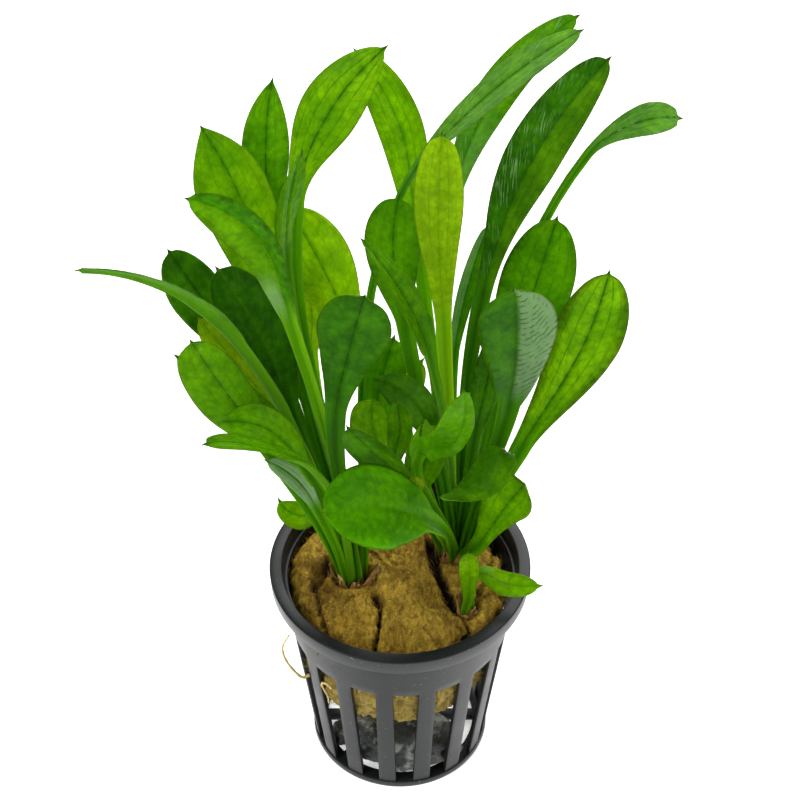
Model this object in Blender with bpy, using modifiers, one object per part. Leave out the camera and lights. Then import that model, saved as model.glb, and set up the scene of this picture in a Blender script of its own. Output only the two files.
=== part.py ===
"""Potted Amazon sword plant: a small water plant with two crowns, in rock wool, in a net pot.

The frame: the origin is the centre of the pot's foot on the surface that it stands on, +Z is up
and -Y is the side that the plant is seen from. Lengths in this file are millimetres, which MM
turns to Blender's metres.
"""

import math
from collections import namedtuple

import bmesh
import bpy
from mathutils import Matrix, Vector, geometry, noise

MM = 0.001
GAP = 0.3
CUT_PAST = 2.0

# Net pot
POT_HEIGHT = 52.0
POT_RIM_RADIUS = 27.5
POT_RIM_DRAFT = 0.2
POT_MOUTH_RADIUS = 24.9
POT_RIM_DEPTH = 3.7
POT_FOOT_RADIUS = 19.7
POT_TAPER = 0.115
POT_WALL = 1.0
POT_FLOOR = 1.5
POT_SIDES = 48
SLOT_COUNT = 16
SLOT_TURN = 3.0
SLOT_BOTTOM = 1.0
SLOT_TOP = 36.3
SLOT_WIDTH_BOTTOM = 3.75
SLOT_WIDTH_TOP = 5.5
SLOT_INNER_RADIUS = 17.6
FLOOR_RING_RADIUS = 16.6
FLOOR_DISC_RADIUS = 8.0
FLOOR_WINDOWS = 8
FLOOR_WINDOW_STEPS = 3
FLOOR_SPOKE_WIDTH = 2.4

# Rock wool
WOOL_BOTTOM = 20.5
WOOL_TOP = 49.2
WOOL_RADIUS = 23.3
WOOL_TAPER = 0.11
WOOL_SHOULDER = 0.25
WOOL_ROUNDING = 0.45
WOOL_OFF_CENTRE = -0.4
WOOL_SIDES = 24
WOOL_ROWS = 11
WOOL_LUMP = 0.9
WOOL_LUMP_SIZE = 9.0
WOOL_SEAM = (-5.5, -19.5)
SEAM_WIDTH = 0.8
SEAM_LENGTH = 14.0
SEAM_DEPTH = 3.5

# Crowns: centre of each on the wool, its radius and the pitch of the leaf stalks on it
CROWN_TOP = 49.0
CROWN_DEPTH = 9.0
CROWN_FOOT_SHARE = 0.7
CROWN_SIDES = 12
PIT_FLARE = 1.6
SEAT_PITCH = 2.0
LEAN_REACH = 20.0
STALK_START = CROWN_TOP + GAP
Crown = namedtuple("Crown", "name x y radius")
LEFT = Crown("crown_left", -10.0, -1.0, 4.8)
RIGHT = Crown("crown_right", 12.0, 7.0, 5.4)
OFFSET = Crown("crown_offset", 14.0, -9.5, 2.4)
CROWNS = (LEFT, RIGHT, OFFSET)

# Tones of the leaves: linear colour
LEAF_TONES = {
    "deep": (0.020, 0.110, 0.004),
    "mid": (0.055, 0.240, 0.006),
    "bright": (0.120, 0.370, 0.010),
    "young": (0.300, 0.520, 0.030),
}

# Leaf section and stations along it
STALK_WIDTH = 1.5
STALK_THICKNESS = 1.2
STALK_EDGE = 0.9
STALK_UPRIGHT = 0.8
BLADE_RIB = 0.9
BLADE_EDGE = 0.45
BLADE_OPENING = 0.4
TIP_WIDTH = 0.7
STALK_STATIONS = 4
BLADE_STATIONS = (0.17, 0.34, 0.5, 0.66, 0.8, 0.9, 0.965, 1.0)
SMALL_BLADE_STATIONS = (0.25, 0.5, 0.75, 0.93, 1.0)
SMALL_BLADE = 25.0

# Each leaf: the crown it grows from, where its blade starts, bends and ends, the blade's width,
# where its upper face looks (heading from +X toward +Y, then height above level, in degrees),
# how far its halves fold up from the midrib, how far the blade twists from neck to tip, its
# outline (where it is widest, how slowly it widens up to there and how pointed its end is), its
# tone of green and how much wider its left half is than its right one.
LEAF_FIELDS = "name crown neck middle tip width face fold twist widest taper end tone lop"
Leaf = namedtuple("Leaf", LEAF_FIELDS, defaults=((-90, 42), 10, 0, 0.54, 1.0, 0.5, "mid", 0.0))


def leaf(name, *measures, **shape):
    return Leaf("leaf_" + name, *measures, **shape)


# Stones on the pot's floor: centre, size and seed of the roughness
STONE_ROUGHNESS = 0.35
STONE_LUMPS = 3.2
LARGE_STONE = 12.0
STONES = {
    "weight_stone": ((1.0, -11.0, 6.8), (25.0, 14.0, 10.0), 3.0),
    "pebble": ((-13.4, -8.6, 5.2), (4.4, 4.4, 7.0), 8.0),
}

# Roots outside the wool: thickness, then the knots of each route
ROOT_STEPS = 3
ROOTS = {
    "root_left": (
        0.7,
        (-19.6, -9.6, 26.4),
        (-21.4, -10.2, 26.6),
        (-24.2, -9.8, 31.0),
        (-25.0, -9.6, 35.5),
        (-23.2, -12.6, 43.0),
    ),
    "root_front": (
        0.6,
        (-14.4, -17.4, 31.5),
        (-15.6, -16.9, 32.5),
        (-16.6, -15.9, 31.0),
        (-15.4, -16.6, 28.0),
        (-15.2, -16.8, 26.0),
    ),
}

LEAVES = (
    leaf("left_01", LEFT, (-30, -3, 114), (-43, -4, 129), (-58, -5, 133.4), 11, (90, 53)),
    leaf(
        "left_02", LEFT, (-26, -8, 94), (-33, -9, 109), (-38, -10, 121.6), 11, (-100, 45),
        taper=0.8, end=0.3, lop=0.1,
    ),
    leaf(
        "left_03", LEFT, (-28, 13, 94), (-39.2, 16, 111.4), (-45, 19, 120), 11.5, (-60, 45),
        tone="deep", lop=0.12,
    ),
    leaf(
        "left_04", LEFT, (-22, 7, 91), (-28, 9, 109), (-35, 11, 122), 12.5, (-80, 30),
        end=0.4, tone="deep",
    ),
    leaf(
        "left_05", LEFT, (-20, -3, 120), (-26, -5, 142), (-36.8, -8, 151.3), 10, (-118, 30), 28,
        tone="bright",
    ),
    leaf(
        "left_06", LEFT, (-22.7, 13.6, 105.8), (-31, 23, 130.6), (-38, 30, 141), 14.2,
        taper=0.8, end=0.9, lop=0.12,
    ),
    leaf("left_07", LEFT, (-25, 24, 121), (-26, 32, 134), (-24.3, 38, 146.6), 9.4, end=0.85),
    leaf(
        "left_08", LEFT, (-19, 8, 139), (-13, 11, 155.2), (-2, 14, 168), 11,
        widest=0.58, taper=2.0, end=0.7, lop=-0.02,
    ),
    leaf("left_09", LEFT, (-21, 3, 129), (-20, 3, 142), (-17, 4, 153), 8, (-30, 20)),
    leaf("left_10", LEFT, (-18, 20, 93), (-18, 26, 99), (-20, 32, 107), 7, tone="young"),
    leaf(
        "left_11", LEFT, (-12.2, -9, 101), (-8.8, -13, 123), (-6, -15, 136), 15, (-90, 30),
        widest=0.7, taper=1.9, end=0.36, tone="deep", lop=0.02,
    ),
    leaf("left_12", LEFT, (-5, 12, 84), (-3, 14, 94), (-1, 16, 101), 9, end=0.3, widest=0.6),
    leaf(
        "left_13", LEFT, (0, 18, 133), (16, 26, 150), (34, 33, 160), 6.6, (-60, 70),
        widest=0.66, taper=2.2,
    ),
    leaf(
        "left_14", LEFT, (-17.2, 7.6, 59.6), (-21.2, 7.6, 58), (-25.6, 7.6, 63.6), 6.2, (-90, 50),
        tone="bright",
    ),
    leaf("left_15", LEFT, (-22, 2, 89), (-30, 3, 102), (-38.4, 4, 115.6), 7.4, tone="young"),
    leaf("left_16", LEFT, (-20, -4, 87), (-30, -5, 101), (-41.9, -6, 114.6), 8),
    leaf("left_17", LEFT, (-19, -10, 91), (-26, -12, 102), (-33, -13, 104), 8, (-90, 50)),
    leaf("left_18", LEFT, (-17, -14, 93), (-27, -19, 103.6), (-35.8, -23, 107.6), 6.6, (90, 83), end=0.35),
    leaf("left_19", LEFT, (-16.6, -9.2, 78), (-20.6, -10.2, 87), (-26, -11, 92.4), 4),
    leaf("right_01", RIGHT, (3, 28, 119), (0, 37, 136), (-9, 43, 150), 9.2, tone="bright"),
    leaf("right_02", RIGHT, (-9.6, 22, 97), (-16.5, 31, 108), (-23, 40, 115), 13.6, tone="bright"),
    leaf("right_03", RIGHT, (1, 12, 84), (2, 14, 90), (5, 16, 95), 6, tone="young"),
    leaf("right_04", RIGHT, (6, 2, 87), (2, 0, 98), (-5, -2, 105), 8, (-90, 42), 20, tone="deep"),
    leaf(
        "right_05", RIGHT, (0.8, 6, 113), (-1.3, 9, 128), (0, 12, 138), 10.9, (-90, 20),
        widest=0.62, taper=1.3, end=0.42,
    ),
    leaf(
        "right_06", RIGHT, (5.2, 2, 108.5), (0, -1, 126), (-7, -3, 139), 7.8, (-50, 50), 30,
        widest=0.36, taper=0.7, end=0.75, lop=-0.22,
    ),
    leaf(
        "right_07", RIGHT, (8.4, 5, 111), (7, 5, 136), (7.3, 5, 156), 9.2, (-90, 15),
        widest=0.66, taper=1.8, end=0.42, tone="young",
    ),
    leaf("right_08", RIGHT, (10, 34, 118), (18.6, 44, 138.6), (35, 50, 153.3), 8, taper=1.6),
    leaf(
        "right_09", RIGHT, (15.3, 10, 112), (23.2, 18, 138), (38, 22, 161), 10.6, (-100, 40),
        widest=0.6, taper=2.6, end=0.45, tone="deep", lop=0.06,
    ),
    leaf(
        "right_10", RIGHT, (35, 23, 139), (44.5, 25, 145), (53, 26, 145), 6.4, (-90, 60), 10, -40,
        widest=0.7, taper=2.0, end=0.35,
    ),
    leaf("right_11", RIGHT, (20.6, 9, 94), (26.2, 14, 115), (30, 19, 128), 14.4),
    leaf(
        "right_12", RIGHT, (21, -2, 99), (21.3, -6, 119), (20.2, -8, 132), 16, (-90, 30), 25,
        widest=0.74, end=0.2, tone="deep",
    ),
    leaf(
        "right_13", RIGHT, (24, 1, 84), (35, 4, 108), (39, 6, 125), 13.5, (-90, 50),
        widest=0.62, taper=1.7,
    ),
    leaf(
        "right_14", RIGHT, (3.6, -10, 93), (10, -15, 101), (11.2, -18, 117), 9.4, (-70, 35), 10,
        widest=0.5, taper=0.8, end=0.35, lop=-0.48,
    ),
    leaf(
        "right_15", RIGHT, (20, -10, 93), (14.4, -19.6, 93.2), (7, -27, 98.4), 7.8, (-60, 75), 20,
        widest=0.3, taper=0.7, end=1.25, tone="deep",
    ),
    leaf(
        "right_16", RIGHT, (16, -3, 60), (21, -9, 78), (24, -13, 88), 12, (-110, 40),
        widest=0.72, taper=2.0, end=0.28, lop=-0.2,
    ),
    leaf("right_17", RIGHT, (5, -14, 79), (-5, -21, 90), (-15, -25, 92), 17, (-90, 55), lop=0.04),
    leaf("right_18", RIGHT, (1, -8, 84), (-5, -12, 95), (-10, -14, 104), 9, (-130, 40), tone="deep"),
    leaf("right_19", RIGHT, (-3, 3, 79), (-5.4, 3, 88), (-5, 3, 96), 8, end=0.3, tone="bright", lop=0.15),
    leaf("right_20", RIGHT, (-1, -5, 86), (0, -5, 95), (-1, -5, 103), 5),
    leaf("right_21", RIGHT, (4, 1, 72), (5, 0, 82), (8, -1, 93), 8),
    leaf("right_22", RIGHT, (3, -11, 84), (3, -11, 86), (2, -11, 89), 3.5, tone="young"),
    leaf("right_23", RIGHT, (11, 16, 97), (13, 19, 109), (17.2, 22, 124), 3.5),
    leaf("right_24", RIGHT, (15, 4, 85), (17, 5, 98), (19, 6, 112), 6, tone="deep"),
    leaf(
        "offset_01", OFFSET, (16, -8, 57), (22, -11, 57), (29, -14, 60), 5.4, (-90, 60),
        end=0.6, tone="bright",
    ),
    leaf(
        "offset_02", OFFSET, (14, -11, 53), (14, -12, 61), (13.4, -13, 69), 4.2, (-90, 30),
        end=0.15, widest=0.7, tone="bright",
    ),
)


def pot_radius(height):
    """Outer radius of the pot's wall at a height."""
    return POT_FOOT_RADIUS + POT_TAPER * height


def material(name, colour, roughness, metallic=0.0):
    made = bpy.data.materials.new(name)
    made.use_nodes = True
    shader = made.node_tree.nodes["Principled BSDF"]
    shader.inputs["Base Color"].default_value = (*colour, 1.0)
    shader.inputs["Roughness"].default_value = roughness
    shader.inputs["Metallic"].default_value = metallic
    made.diffuse_color = (*colour, 1.0)
    return made


def add_object(name, mesh, finish, collection):
    made = bpy.data.objects.new(name, mesh)
    made.data.materials.append(finish)
    collection.objects.link(made)
    return made


def mesh_from(shape, name):
    """Mesh of a bmesh that was worked in millimetres."""
    bmesh.ops.scale(shape, vec=(MM, MM, MM), verts=shape.verts)
    bmesh.ops.recalc_face_normals(shape, faces=shape.faces)
    mesh = bpy.data.meshes.new(name)
    shape.to_mesh(mesh)
    shape.free()
    return mesh


def direction(heading, tilt):
    """Unit vector from a heading and a height above level, in degrees."""
    flat = math.cos(math.radians(tilt))
    return Vector(
        (
            flat * math.cos(math.radians(heading)),
            flat * math.sin(math.radians(heading)),
            math.sin(math.radians(tilt)),
        )
    )


def seats_on(crown):
    """Places for leaf stalks on a crown, in a honeycomb, middle first."""
    rows = int(crown.radius / SEAT_PITCH) + 2
    places = []
    for row in range(-rows, rows + 1):
        for column in range(-rows, rows + 1):
            x = SEAT_PITCH * (column + 0.5 * row)
            y = SEAT_PITCH * row * math.sqrt(3) / 2
            if math.hypot(x, y) <= crown.radius:
                places.append(Vector((crown.x + x, crown.y + y, STALK_START)))
    return places


def roots_of_leaves():
    """The seat that each leaf stalk grows from, so that stalks leaning alike stand side by side."""
    seats = {}
    for crown in CROWNS:
        free = seats_on(crown)
        centre = Vector((crown.x, crown.y, STALK_START))
        mine = [one for one in LEAVES if one.crown is crown]
        lean = {one.name: (Vector(one.neck) - centre) for one in mine}
        slope = {name: way.xy / way.z for name, way in lean.items()}
        wanted = {name: centre.xy + way * LEAN_REACH for name, way in slope.items()}
        for one in sorted(mine, key=lambda item: -slope[item.name].length):
            seat = min(free, key=lambda place: (place.xy - wanted[one.name]).length)
            free.remove(seat)
            seats[one.name] = seat
        swap_seats(seats, wanted, [one.name for one in mine])
    return seats


def swap_seats(seats, wanted, names):
    """Swaps the seats of two leaves wherever that brings both nearer to the way they lean."""
    swapped = True
    while swapped:
        swapped = False
        for index, first in enumerate(names):
            for second in names[index + 1 :]:
                now = (seats[first].xy - wanted[first]).length_squared
                now += (seats[second].xy - wanted[second]).length_squared
                other = (seats[first].xy - wanted[second]).length_squared
                other += (seats[second].xy - wanted[first]).length_squared
                if other < now - 1e-6:
                    seats[first], seats[second] = seats[second], seats[first]
                    swapped = True


def midrib(one, root):
    """Points and tangents along a leaf, from its root to its tip, with its share of the blade."""
    knots = [root, Vector(one.neck), Vector(one.middle), Vector(one.tip)]
    ways = [(b - a).normalized() for a, b in zip(knots, knots[1:])]
    start = (ways[0] + Vector((0, 0, STALK_UPRIGHT))).normalized()
    inner = [(a + b).normalized() for a, b in zip(ways, ways[1:])]
    end = (2 * ways[2] - inner[1]).normalized()
    tangents = [start, *inner, end]

    def at(span, share):
        a, b = knots[span], knots[span + 1]
        reach = (b - a).length / 3
        handles = (a, a + tangents[span] * reach, b - tangents[span + 1] * reach, b)
        near = [p.lerp(q, share) for p, q in zip(handles, handles[1:])]
        mid = [p.lerp(q, share) for p, q in zip(near, near[1:])]
        return mid[0].lerp(mid[1], share), (mid[1] - mid[0]).normalized()

    stations = [(*at(0, step / STALK_STATIONS), 0.0) for step in range(STALK_STATIONS + 1)]
    small = (knots[3] - knots[1]).length < SMALL_BLADE
    for share in SMALL_BLADE_STATIONS if small else BLADE_STATIONS:
        span = 1 if share <= 0.5 else 2
        stations.append((*at(span, 2 * share - (span - 1)), share))
    return stations


def blade_width(one, share):
    """Width of a leaf at a share of the way from its neck to its tip."""
    if share < one.widest:
        swell = math.sin(math.pi / 2 * share / one.widest) ** one.taper
    else:
        past = (share - one.widest) / (1 - one.widest)
        swell = max(0.0, math.cos(math.pi / 2 * past)) ** one.end
    narrow = STALK_WIDTH + (TIP_WIDTH - STALK_WIDTH) * share
    return narrow + (one.width - narrow) * swell


def section(one, point, along, share, ring):
    """Six corners round a leaf at one station: rib and edges, above and below."""
    turned = Matrix.Rotation(math.radians(one.twist * (share - 1.0)), 3, along)
    facing = turned @ direction(*one.face)
    up = (facing - along * facing.dot(along)).normalized()
    side = along.cross(up)
    spread = min(1.0, share / BLADE_OPENING)
    fold = math.radians(one.fold) * spread
    half = blade_width(one, share) / 2
    rib = STALK_THICKNESS + (BLADE_RIB - STALK_THICKNESS) * spread
    edge = STALK_EDGE + (BLADE_EDGE - STALK_EDGE) * spread
    if share == 1.0:
        rib = edge
    to_right = half * (1 - one.lop * spread)
    to_left = half * (1 + one.lop * spread)
    right = point + (side * math.cos(fold) + up * math.sin(fold)) * to_right
    left = point + (up * math.sin(fold) - side * math.cos(fold)) * to_left
    corners = (
        point + up * rib / 2,
        left + up * edge / 2,
        left - up * edge / 2,
        point - up * rib / 2,
        right - up * edge / 2,
        right + up * edge / 2,
    )
    return [ring.verts.new(corner) for corner in corners]


def make_leaf(one, root, finish, collection):
    """A leaf: its stalk and blade as one closed loft from the crown to the tip."""
    shape = bmesh.new()
    rings = [section(one, *station, shape) for station in midrib(one, root)]
    for lower, upper in zip(rings, rings[1:]):
        for index in range(len(lower)):
            after = (index + 1) % len(lower)
            shape.faces.new((lower[index], lower[after], upper[after], upper[index]))
    shape.faces.new(reversed(rings[0]))
    shape.faces.new(rings[-1])
    return add_object(one.name, mesh_from(shape, one.name), finish, collection)


def turned_body(name, profile, sides, finish, collection):
    """A body turned round Z from a profile in X and Z that starts and ends on the axis."""
    shape = bmesh.new()
    corners = [shape.verts.new((x * MM, 0.0, z * MM)) for x, z in profile]
    for first, second in zip(corners, corners[1:]):
        shape.edges.new((first, second))
    mesh = bpy.data.meshes.new(name)
    shape.to_mesh(mesh)
    shape.free()
    made = add_object(name, mesh, finish, collection)
    screw = made.modifiers.new("turned", "SCREW")
    screw.steps = screw.render_steps = sides
    screw.use_merge_vertices = True
    screw.merge_threshold = 0.00001
    return made


def cut(target, cutter, name):
    boolean = target.modifiers.new(name, "BOOLEAN")
    boolean.operation = "DIFFERENCE"
    boolean.solver = "EXACT"
    boolean.object = cutter


def make_cutter(name, shape, collection):
    made = bpy.data.objects.new(name, mesh_from(shape, name))
    made.hide_render = True
    made.display_type = "WIRE"
    collection.objects.link(made)
    return made


def slot_cutter(cutters):
    """One wedge for each slot of the wall, wider at the top, spread round the pot."""
    shape = bmesh.new()
    outer = POT_RIM_RADIUS + CUT_PAST
    for index in range(SLOT_COUNT):
        turn = math.radians(SLOT_TURN - 90 + 360 * index / SLOT_COUNT)
        made = bmesh.ops.create_cube(shape, size=1.0)["verts"]
        for corner in made:
            top = corner.co.z > 0
            width = SLOT_WIDTH_TOP if top else SLOT_WIDTH_BOTTOM
            corner.co.x = outer if corner.co.x > 0 else SLOT_INNER_RADIUS
            corner.co.y *= width
            corner.co.z = SLOT_TOP if top else SLOT_BOTTOM
        bmesh.ops.rotate(shape, verts=made, matrix=Matrix.Rotation(turn, 3, "Z"))
    return make_cutter("slot_cutter", shape, cutters)


def window_cutter(cutters):
    """The windows in the floor: a ring cut through by spokes."""
    shape = bmesh.new()
    steps = FLOOR_WINDOW_STEPS
    for index in range(FLOOR_WINDOWS):
        middle = 2 * math.pi * (index + 0.5) / FLOOR_WINDOWS
        rims = []
        for radius in (FLOOR_DISC_RADIUS, FLOOR_RING_RADIUS):
            half = math.pi / FLOOR_WINDOWS - FLOOR_SPOKE_WIDTH / 2 / radius
            turns = [middle + half * (2 * step / steps - 1) for step in range(steps + 1)]
            rims.append([(radius * math.cos(turn), radius * math.sin(turn)) for turn in turns])
        outline = rims[0] + rims[1][::-1]
        corners = [shape.verts.new((x, y, -POT_FLOOR)) for x, y in outline]
        floor = shape.faces.new(corners)
        raised = bmesh.ops.extrude_face_region(shape, geom=[floor])["geom"]
        raised = [item for item in raised if isinstance(item, bmesh.types.BMVert)]
        bmesh.ops.translate(shape, verts=raised, vec=(0, 0, 3 * POT_FLOOR))
    return make_cutter("window_cutter", shape, cutters)


def make_net_pot(parts, cutters):
    """The slotted pot: one moulded piece with a flat rim, a tapered wall and an open floor."""
    under_rim = POT_HEIGHT - POT_RIM_DEPTH
    inside = POT_FLOOR
    profile = (
        (0.0, inside),
        (pot_radius(inside) - POT_WALL, inside),
        (pot_radius(under_rim) - POT_WALL, under_rim),
        (POT_MOUTH_RADIUS, POT_HEIGHT),
        (POT_RIM_RADIUS, POT_HEIGHT),
        (POT_RIM_RADIUS - POT_RIM_DRAFT, under_rim),
        (pot_radius(under_rim), under_rim),
        (pot_radius(0.0), 0.0),
        (0.0, 0.0),
    )
    finish = material("net_pot_plastic", (0.10, 0.105, 0.11), 0.45)
    pot = turned_body("net_pot", profile, POT_SIDES, finish, parts)
    cut(pot, slot_cutter(cutters), "slots")
    cut(pot, window_cutter(cutters), "floor windows")
    pot.data.shade_smooth()
    return pot


def pit_cutter(crown, cutters):
    """The hollow in the wool round a crown, wider at its mouth."""
    shape = bmesh.new()
    bottom = CROWN_TOP - CROWN_DEPTH - GAP
    top = CROWN_TOP + 2 * CUT_PAST
    bmesh.ops.create_cone(
        shape,
        cap_ends=True,
        segments=CROWN_SIDES,
        radius1=crown.radius + 2 * GAP,
        radius2=crown.radius + PIT_FLARE,
        depth=top - bottom,
        matrix=Matrix.Translation((crown.x, crown.y, (top + bottom) / 2)),
    )
    return make_cutter("pit_" + crown.name, shape, cutters)


def seam_cutter(cutters):
    """The open seam where the wrapped wool meets itself, at the front."""
    shape = bmesh.new()
    x, y = WOOL_SEAM
    made = bmesh.ops.create_cube(shape, size=1.0)["verts"]
    bmesh.ops.scale(shape, verts=made, vec=(SEAM_WIDTH, SEAM_LENGTH, 2 * SEAM_DEPTH))
    bmesh.ops.translate(shape, verts=made, vec=(x, y, WOOL_TOP))
    return make_cutter("seam_cutter", shape, cutters)


def make_rock_wool(parts, cutters):
    """The wrapped plug of rock wool, a lumpy round block with a pit round each crown."""
    shape = bmesh.new()
    bmesh.ops.create_uvsphere(shape, u_segments=WOOL_SIDES, v_segments=WOOL_ROWS, radius=1.0)
    half = (WOOL_TOP - WOOL_BOTTOM) / 2
    for corner in shape.verts:
        level = math.copysign(abs(corner.co.z) ** WOOL_SHOULDER, corner.co.z)
        flat = corner.co.xy.length
        spread = flat**WOOL_ROUNDING / flat if flat > 0 else 0.0
        height = WOOL_BOTTOM + half * (level + 1)
        radius = WOOL_RADIUS - WOOL_TAPER * (WOOL_TOP - height)
        place = Vector((corner.co.x * spread * radius, corner.co.y * spread * radius, height))
        place.x += WOOL_OFF_CENTRE
        lump = noise.noise(place / WOOL_LUMP_SIZE) * WOOL_LUMP
        corner.co = place + (place - Vector((0, 0, WOOL_BOTTOM + half))).normalized() * lump
    finish = material("rock_wool", (0.30, 0.19, 0.04), 0.95)
    wool = add_object("rock_wool", mesh_from(shape, "rock_wool"), finish, parts)
    for crown in CROWNS:
        cut(wool, pit_cutter(crown, cutters), crown.name)
    cut(wool, seam_cutter(cutters), "seam")
    return wool


def make_crown(crown, parts, finish):
    """The short stem that the leaf stalks grow from."""
    shape = bmesh.new()
    bmesh.ops.create_cone(
        shape,
        cap_ends=True,
        segments=CROWN_SIDES,
        radius1=CROWN_FOOT_SHARE * crown.radius,
        radius2=crown.radius,
        depth=CROWN_DEPTH,
        matrix=Matrix.Translation((crown.x, crown.y, CROWN_TOP - CROWN_DEPTH / 2)),
    )
    return add_object(crown.name, mesh_from(shape, crown.name), finish, parts)


def make_stone(name, centre, size, seed, finish, parts):
    """A rough stone: a ball squeezed to its size and roughened."""
    shape = bmesh.new()
    subdivisions = 3 if max(size) > LARGE_STONE else 2
    bmesh.ops.create_icosphere(shape, subdivisions=subdivisions, radius=0.5)
    for corner in shape.verts:
        lumps = noise.noise(corner.co * STONE_LUMPS + Vector((seed, 0, 0)))
        rough = 1 + STONE_ROUGHNESS * lumps
        corner.co = Vector([c * s for c, s in zip(corner.co * rough, size)]) + Vector(centre)
        corner.co.z = max(corner.co.z, POT_FLOOR + GAP)
        room = pot_radius(corner.co.z) - POT_WALL - GAP
        corner.co.xy *= min(1.0, room / max(corner.co.xy.length, GAP))
    return add_object(name, mesh_from(shape, name), finish, parts)


def make_root(name, route, thickness, finish, parts):
    """A root: a thin tube along its route."""
    curve = bpy.data.curves.new(name, "CURVE")
    curve.dimensions = "3D"
    curve.bevel_depth = thickness / 2 * MM
    curve.bevel_resolution = 0
    curve.use_fill_caps = True
    points = smooth_route([Vector(point) for point in route])
    spline = curve.splines.new("POLY")
    spline.points.add(len(points) - 1)
    for target, point in zip(spline.points, points):
        target.co = (*(point * MM), 1.0)
    return add_object(name, curve, finish, parts)


def smooth_route(knots):
    """Points on a smooth curve through a root's knots."""
    ends = [2 * knots[0] - knots[1], *knots, 2 * knots[-1] - knots[-2]]
    points = []
    for before, start, stop, after in zip(ends, ends[1:], ends[2:], ends[3:]):
        first = start + (stop - before) / 6
        second = stop - (after - start) / 6
        span = geometry.interpolate_bezier(start, first, second, stop, ROOT_STEPS + 1)
        points += span if not points else span[1:]
    return points


def clear_scene():
    for old in list(bpy.data.objects):
        bpy.data.objects.remove(old, do_unlink=True)


def new_collection(name):
    made = bpy.data.collections.new(name)
    bpy.context.scene.collection.children.link(made)
    return made


def main():
    clear_scene()
    parts = new_collection("potted_sword_plant")
    cutters = new_collection("cutters")
    make_net_pot(parts, cutters)
    make_rock_wool(parts, cutters)
    stem = material("crown_stem", (0.30, 0.14, 0.05), 0.7)
    for crown in CROWNS:
        make_crown(crown, parts, stem)
    stone = material("stone", (0.05, 0.055, 0.05), 0.7)
    for name, (centre, size, seed) in STONES.items():
        make_stone(name, centre, size, seed, stone, parts)
    root = material("root", (0.45, 0.28, 0.06), 0.6)
    for name, (thickness, *route) in ROOTS.items():
        make_root(name, route, thickness, root, parts)
    greens = {tone: material("leaf_" + tone, colour, 0.4) for tone, colour in LEAF_TONES.items()}
    roots = roots_of_leaves()
    for one in LEAVES:
        make_leaf(one, roots[one.name], greens[one.tone], parts)


if __name__ == "__main__":
    main()
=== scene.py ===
"""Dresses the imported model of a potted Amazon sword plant: leaves, crowns, rock wool and net pot.

Run as a script in Blender 4.5. Lengths in the settings are metres. The plant's own tables and
the modelling are in millimetres, which MM turns to metres when a piece is finished.
"""

import bisect
import math
import random
from collections import namedtuple
from functools import partial

import bmesh
import bpy
from bpy.props import FloatProperty, FloatVectorProperty, IntProperty, PointerProperty
from mathutils import Matrix, Vector, noise


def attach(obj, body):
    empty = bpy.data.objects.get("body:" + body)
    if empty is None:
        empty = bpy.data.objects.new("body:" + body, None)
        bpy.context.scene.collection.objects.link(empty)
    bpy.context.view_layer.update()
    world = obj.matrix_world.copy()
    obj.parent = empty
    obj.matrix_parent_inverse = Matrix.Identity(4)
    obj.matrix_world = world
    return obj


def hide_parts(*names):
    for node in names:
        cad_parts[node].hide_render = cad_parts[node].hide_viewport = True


bl_info = {
    "name": "Potted Sword Plant",
    "version": (1, 0, 0),
    "blender": (4, 5, 0),
    "location": "View3D > Sidebar > Sword Plant",
    "description": "Builds the leaves, crowns, rock wool and net pot of a potted water plant",
    "category": "Object",
}

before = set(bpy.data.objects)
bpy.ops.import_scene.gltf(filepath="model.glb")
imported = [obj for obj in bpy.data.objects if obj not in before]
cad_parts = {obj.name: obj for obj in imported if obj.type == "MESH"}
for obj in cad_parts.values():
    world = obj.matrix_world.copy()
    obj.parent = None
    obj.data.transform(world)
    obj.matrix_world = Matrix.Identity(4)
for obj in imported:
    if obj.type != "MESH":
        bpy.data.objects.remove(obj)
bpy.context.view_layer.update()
MM = 0.001
GAP = 0.3

# Net pot: the shape of its wall, slots and floor
POT_TAPER = 0.115
POT_FLOOR = 1.5
SLOT_TURN = 3.0
SLOT_BOTTOM = 1.0
SLOT_TOP = 36.3
SLOT_WIDTH_BOTTOM = 3.75
SLOT_WIDTH_TOP = 5.5
FLOOR_RING_RADIUS = 16.6
FLOOR_DISC_RADIUS = 8.0
FLOOR_WINDOWS = 8
FLOOR_SPOKE_WIDTH = 2.4

# Rock wool: the block's rounding, the mounds and hollows of its top (x, y, radius along x and y,
# height) and its cracks (half width, depth, line)
WOOL_BOTTOM = 20.5
WOOL_TOP = 49.2
WOOL_TAPER = 0.11
WOOL_SHOULDER = 0.25
WOOL_ROUNDING = 0.45
WOOL_OFF_CENTRE = -0.4
WOOL_MOUNDS = (
    (-19.6, 4.5, 3.6, 8.0, 1.6),
    (-16.8, -0.8, 1.7, 1.9, -3.4),
    (-12.5, -11.5, 6.2, 6.5, 1.3),
    (-15.0, -3.0, 1.2, 1.6, 2.0),
    (1.5, -13.0, 5.6, 6.4, 1.2),
    (0.0, 3.0, 5.0, 7.0, 0.8),
    (10.0, -13.5, 4.2, 5.0, 1.1),
    (19.0, -3.0, 3.4, 9.0, 1.8),
    (-2.0, 16.0, 9.0, 5.0, 0.9),
    (12.0, 18.0, 6.0, 3.5, 0.7),
)
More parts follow.
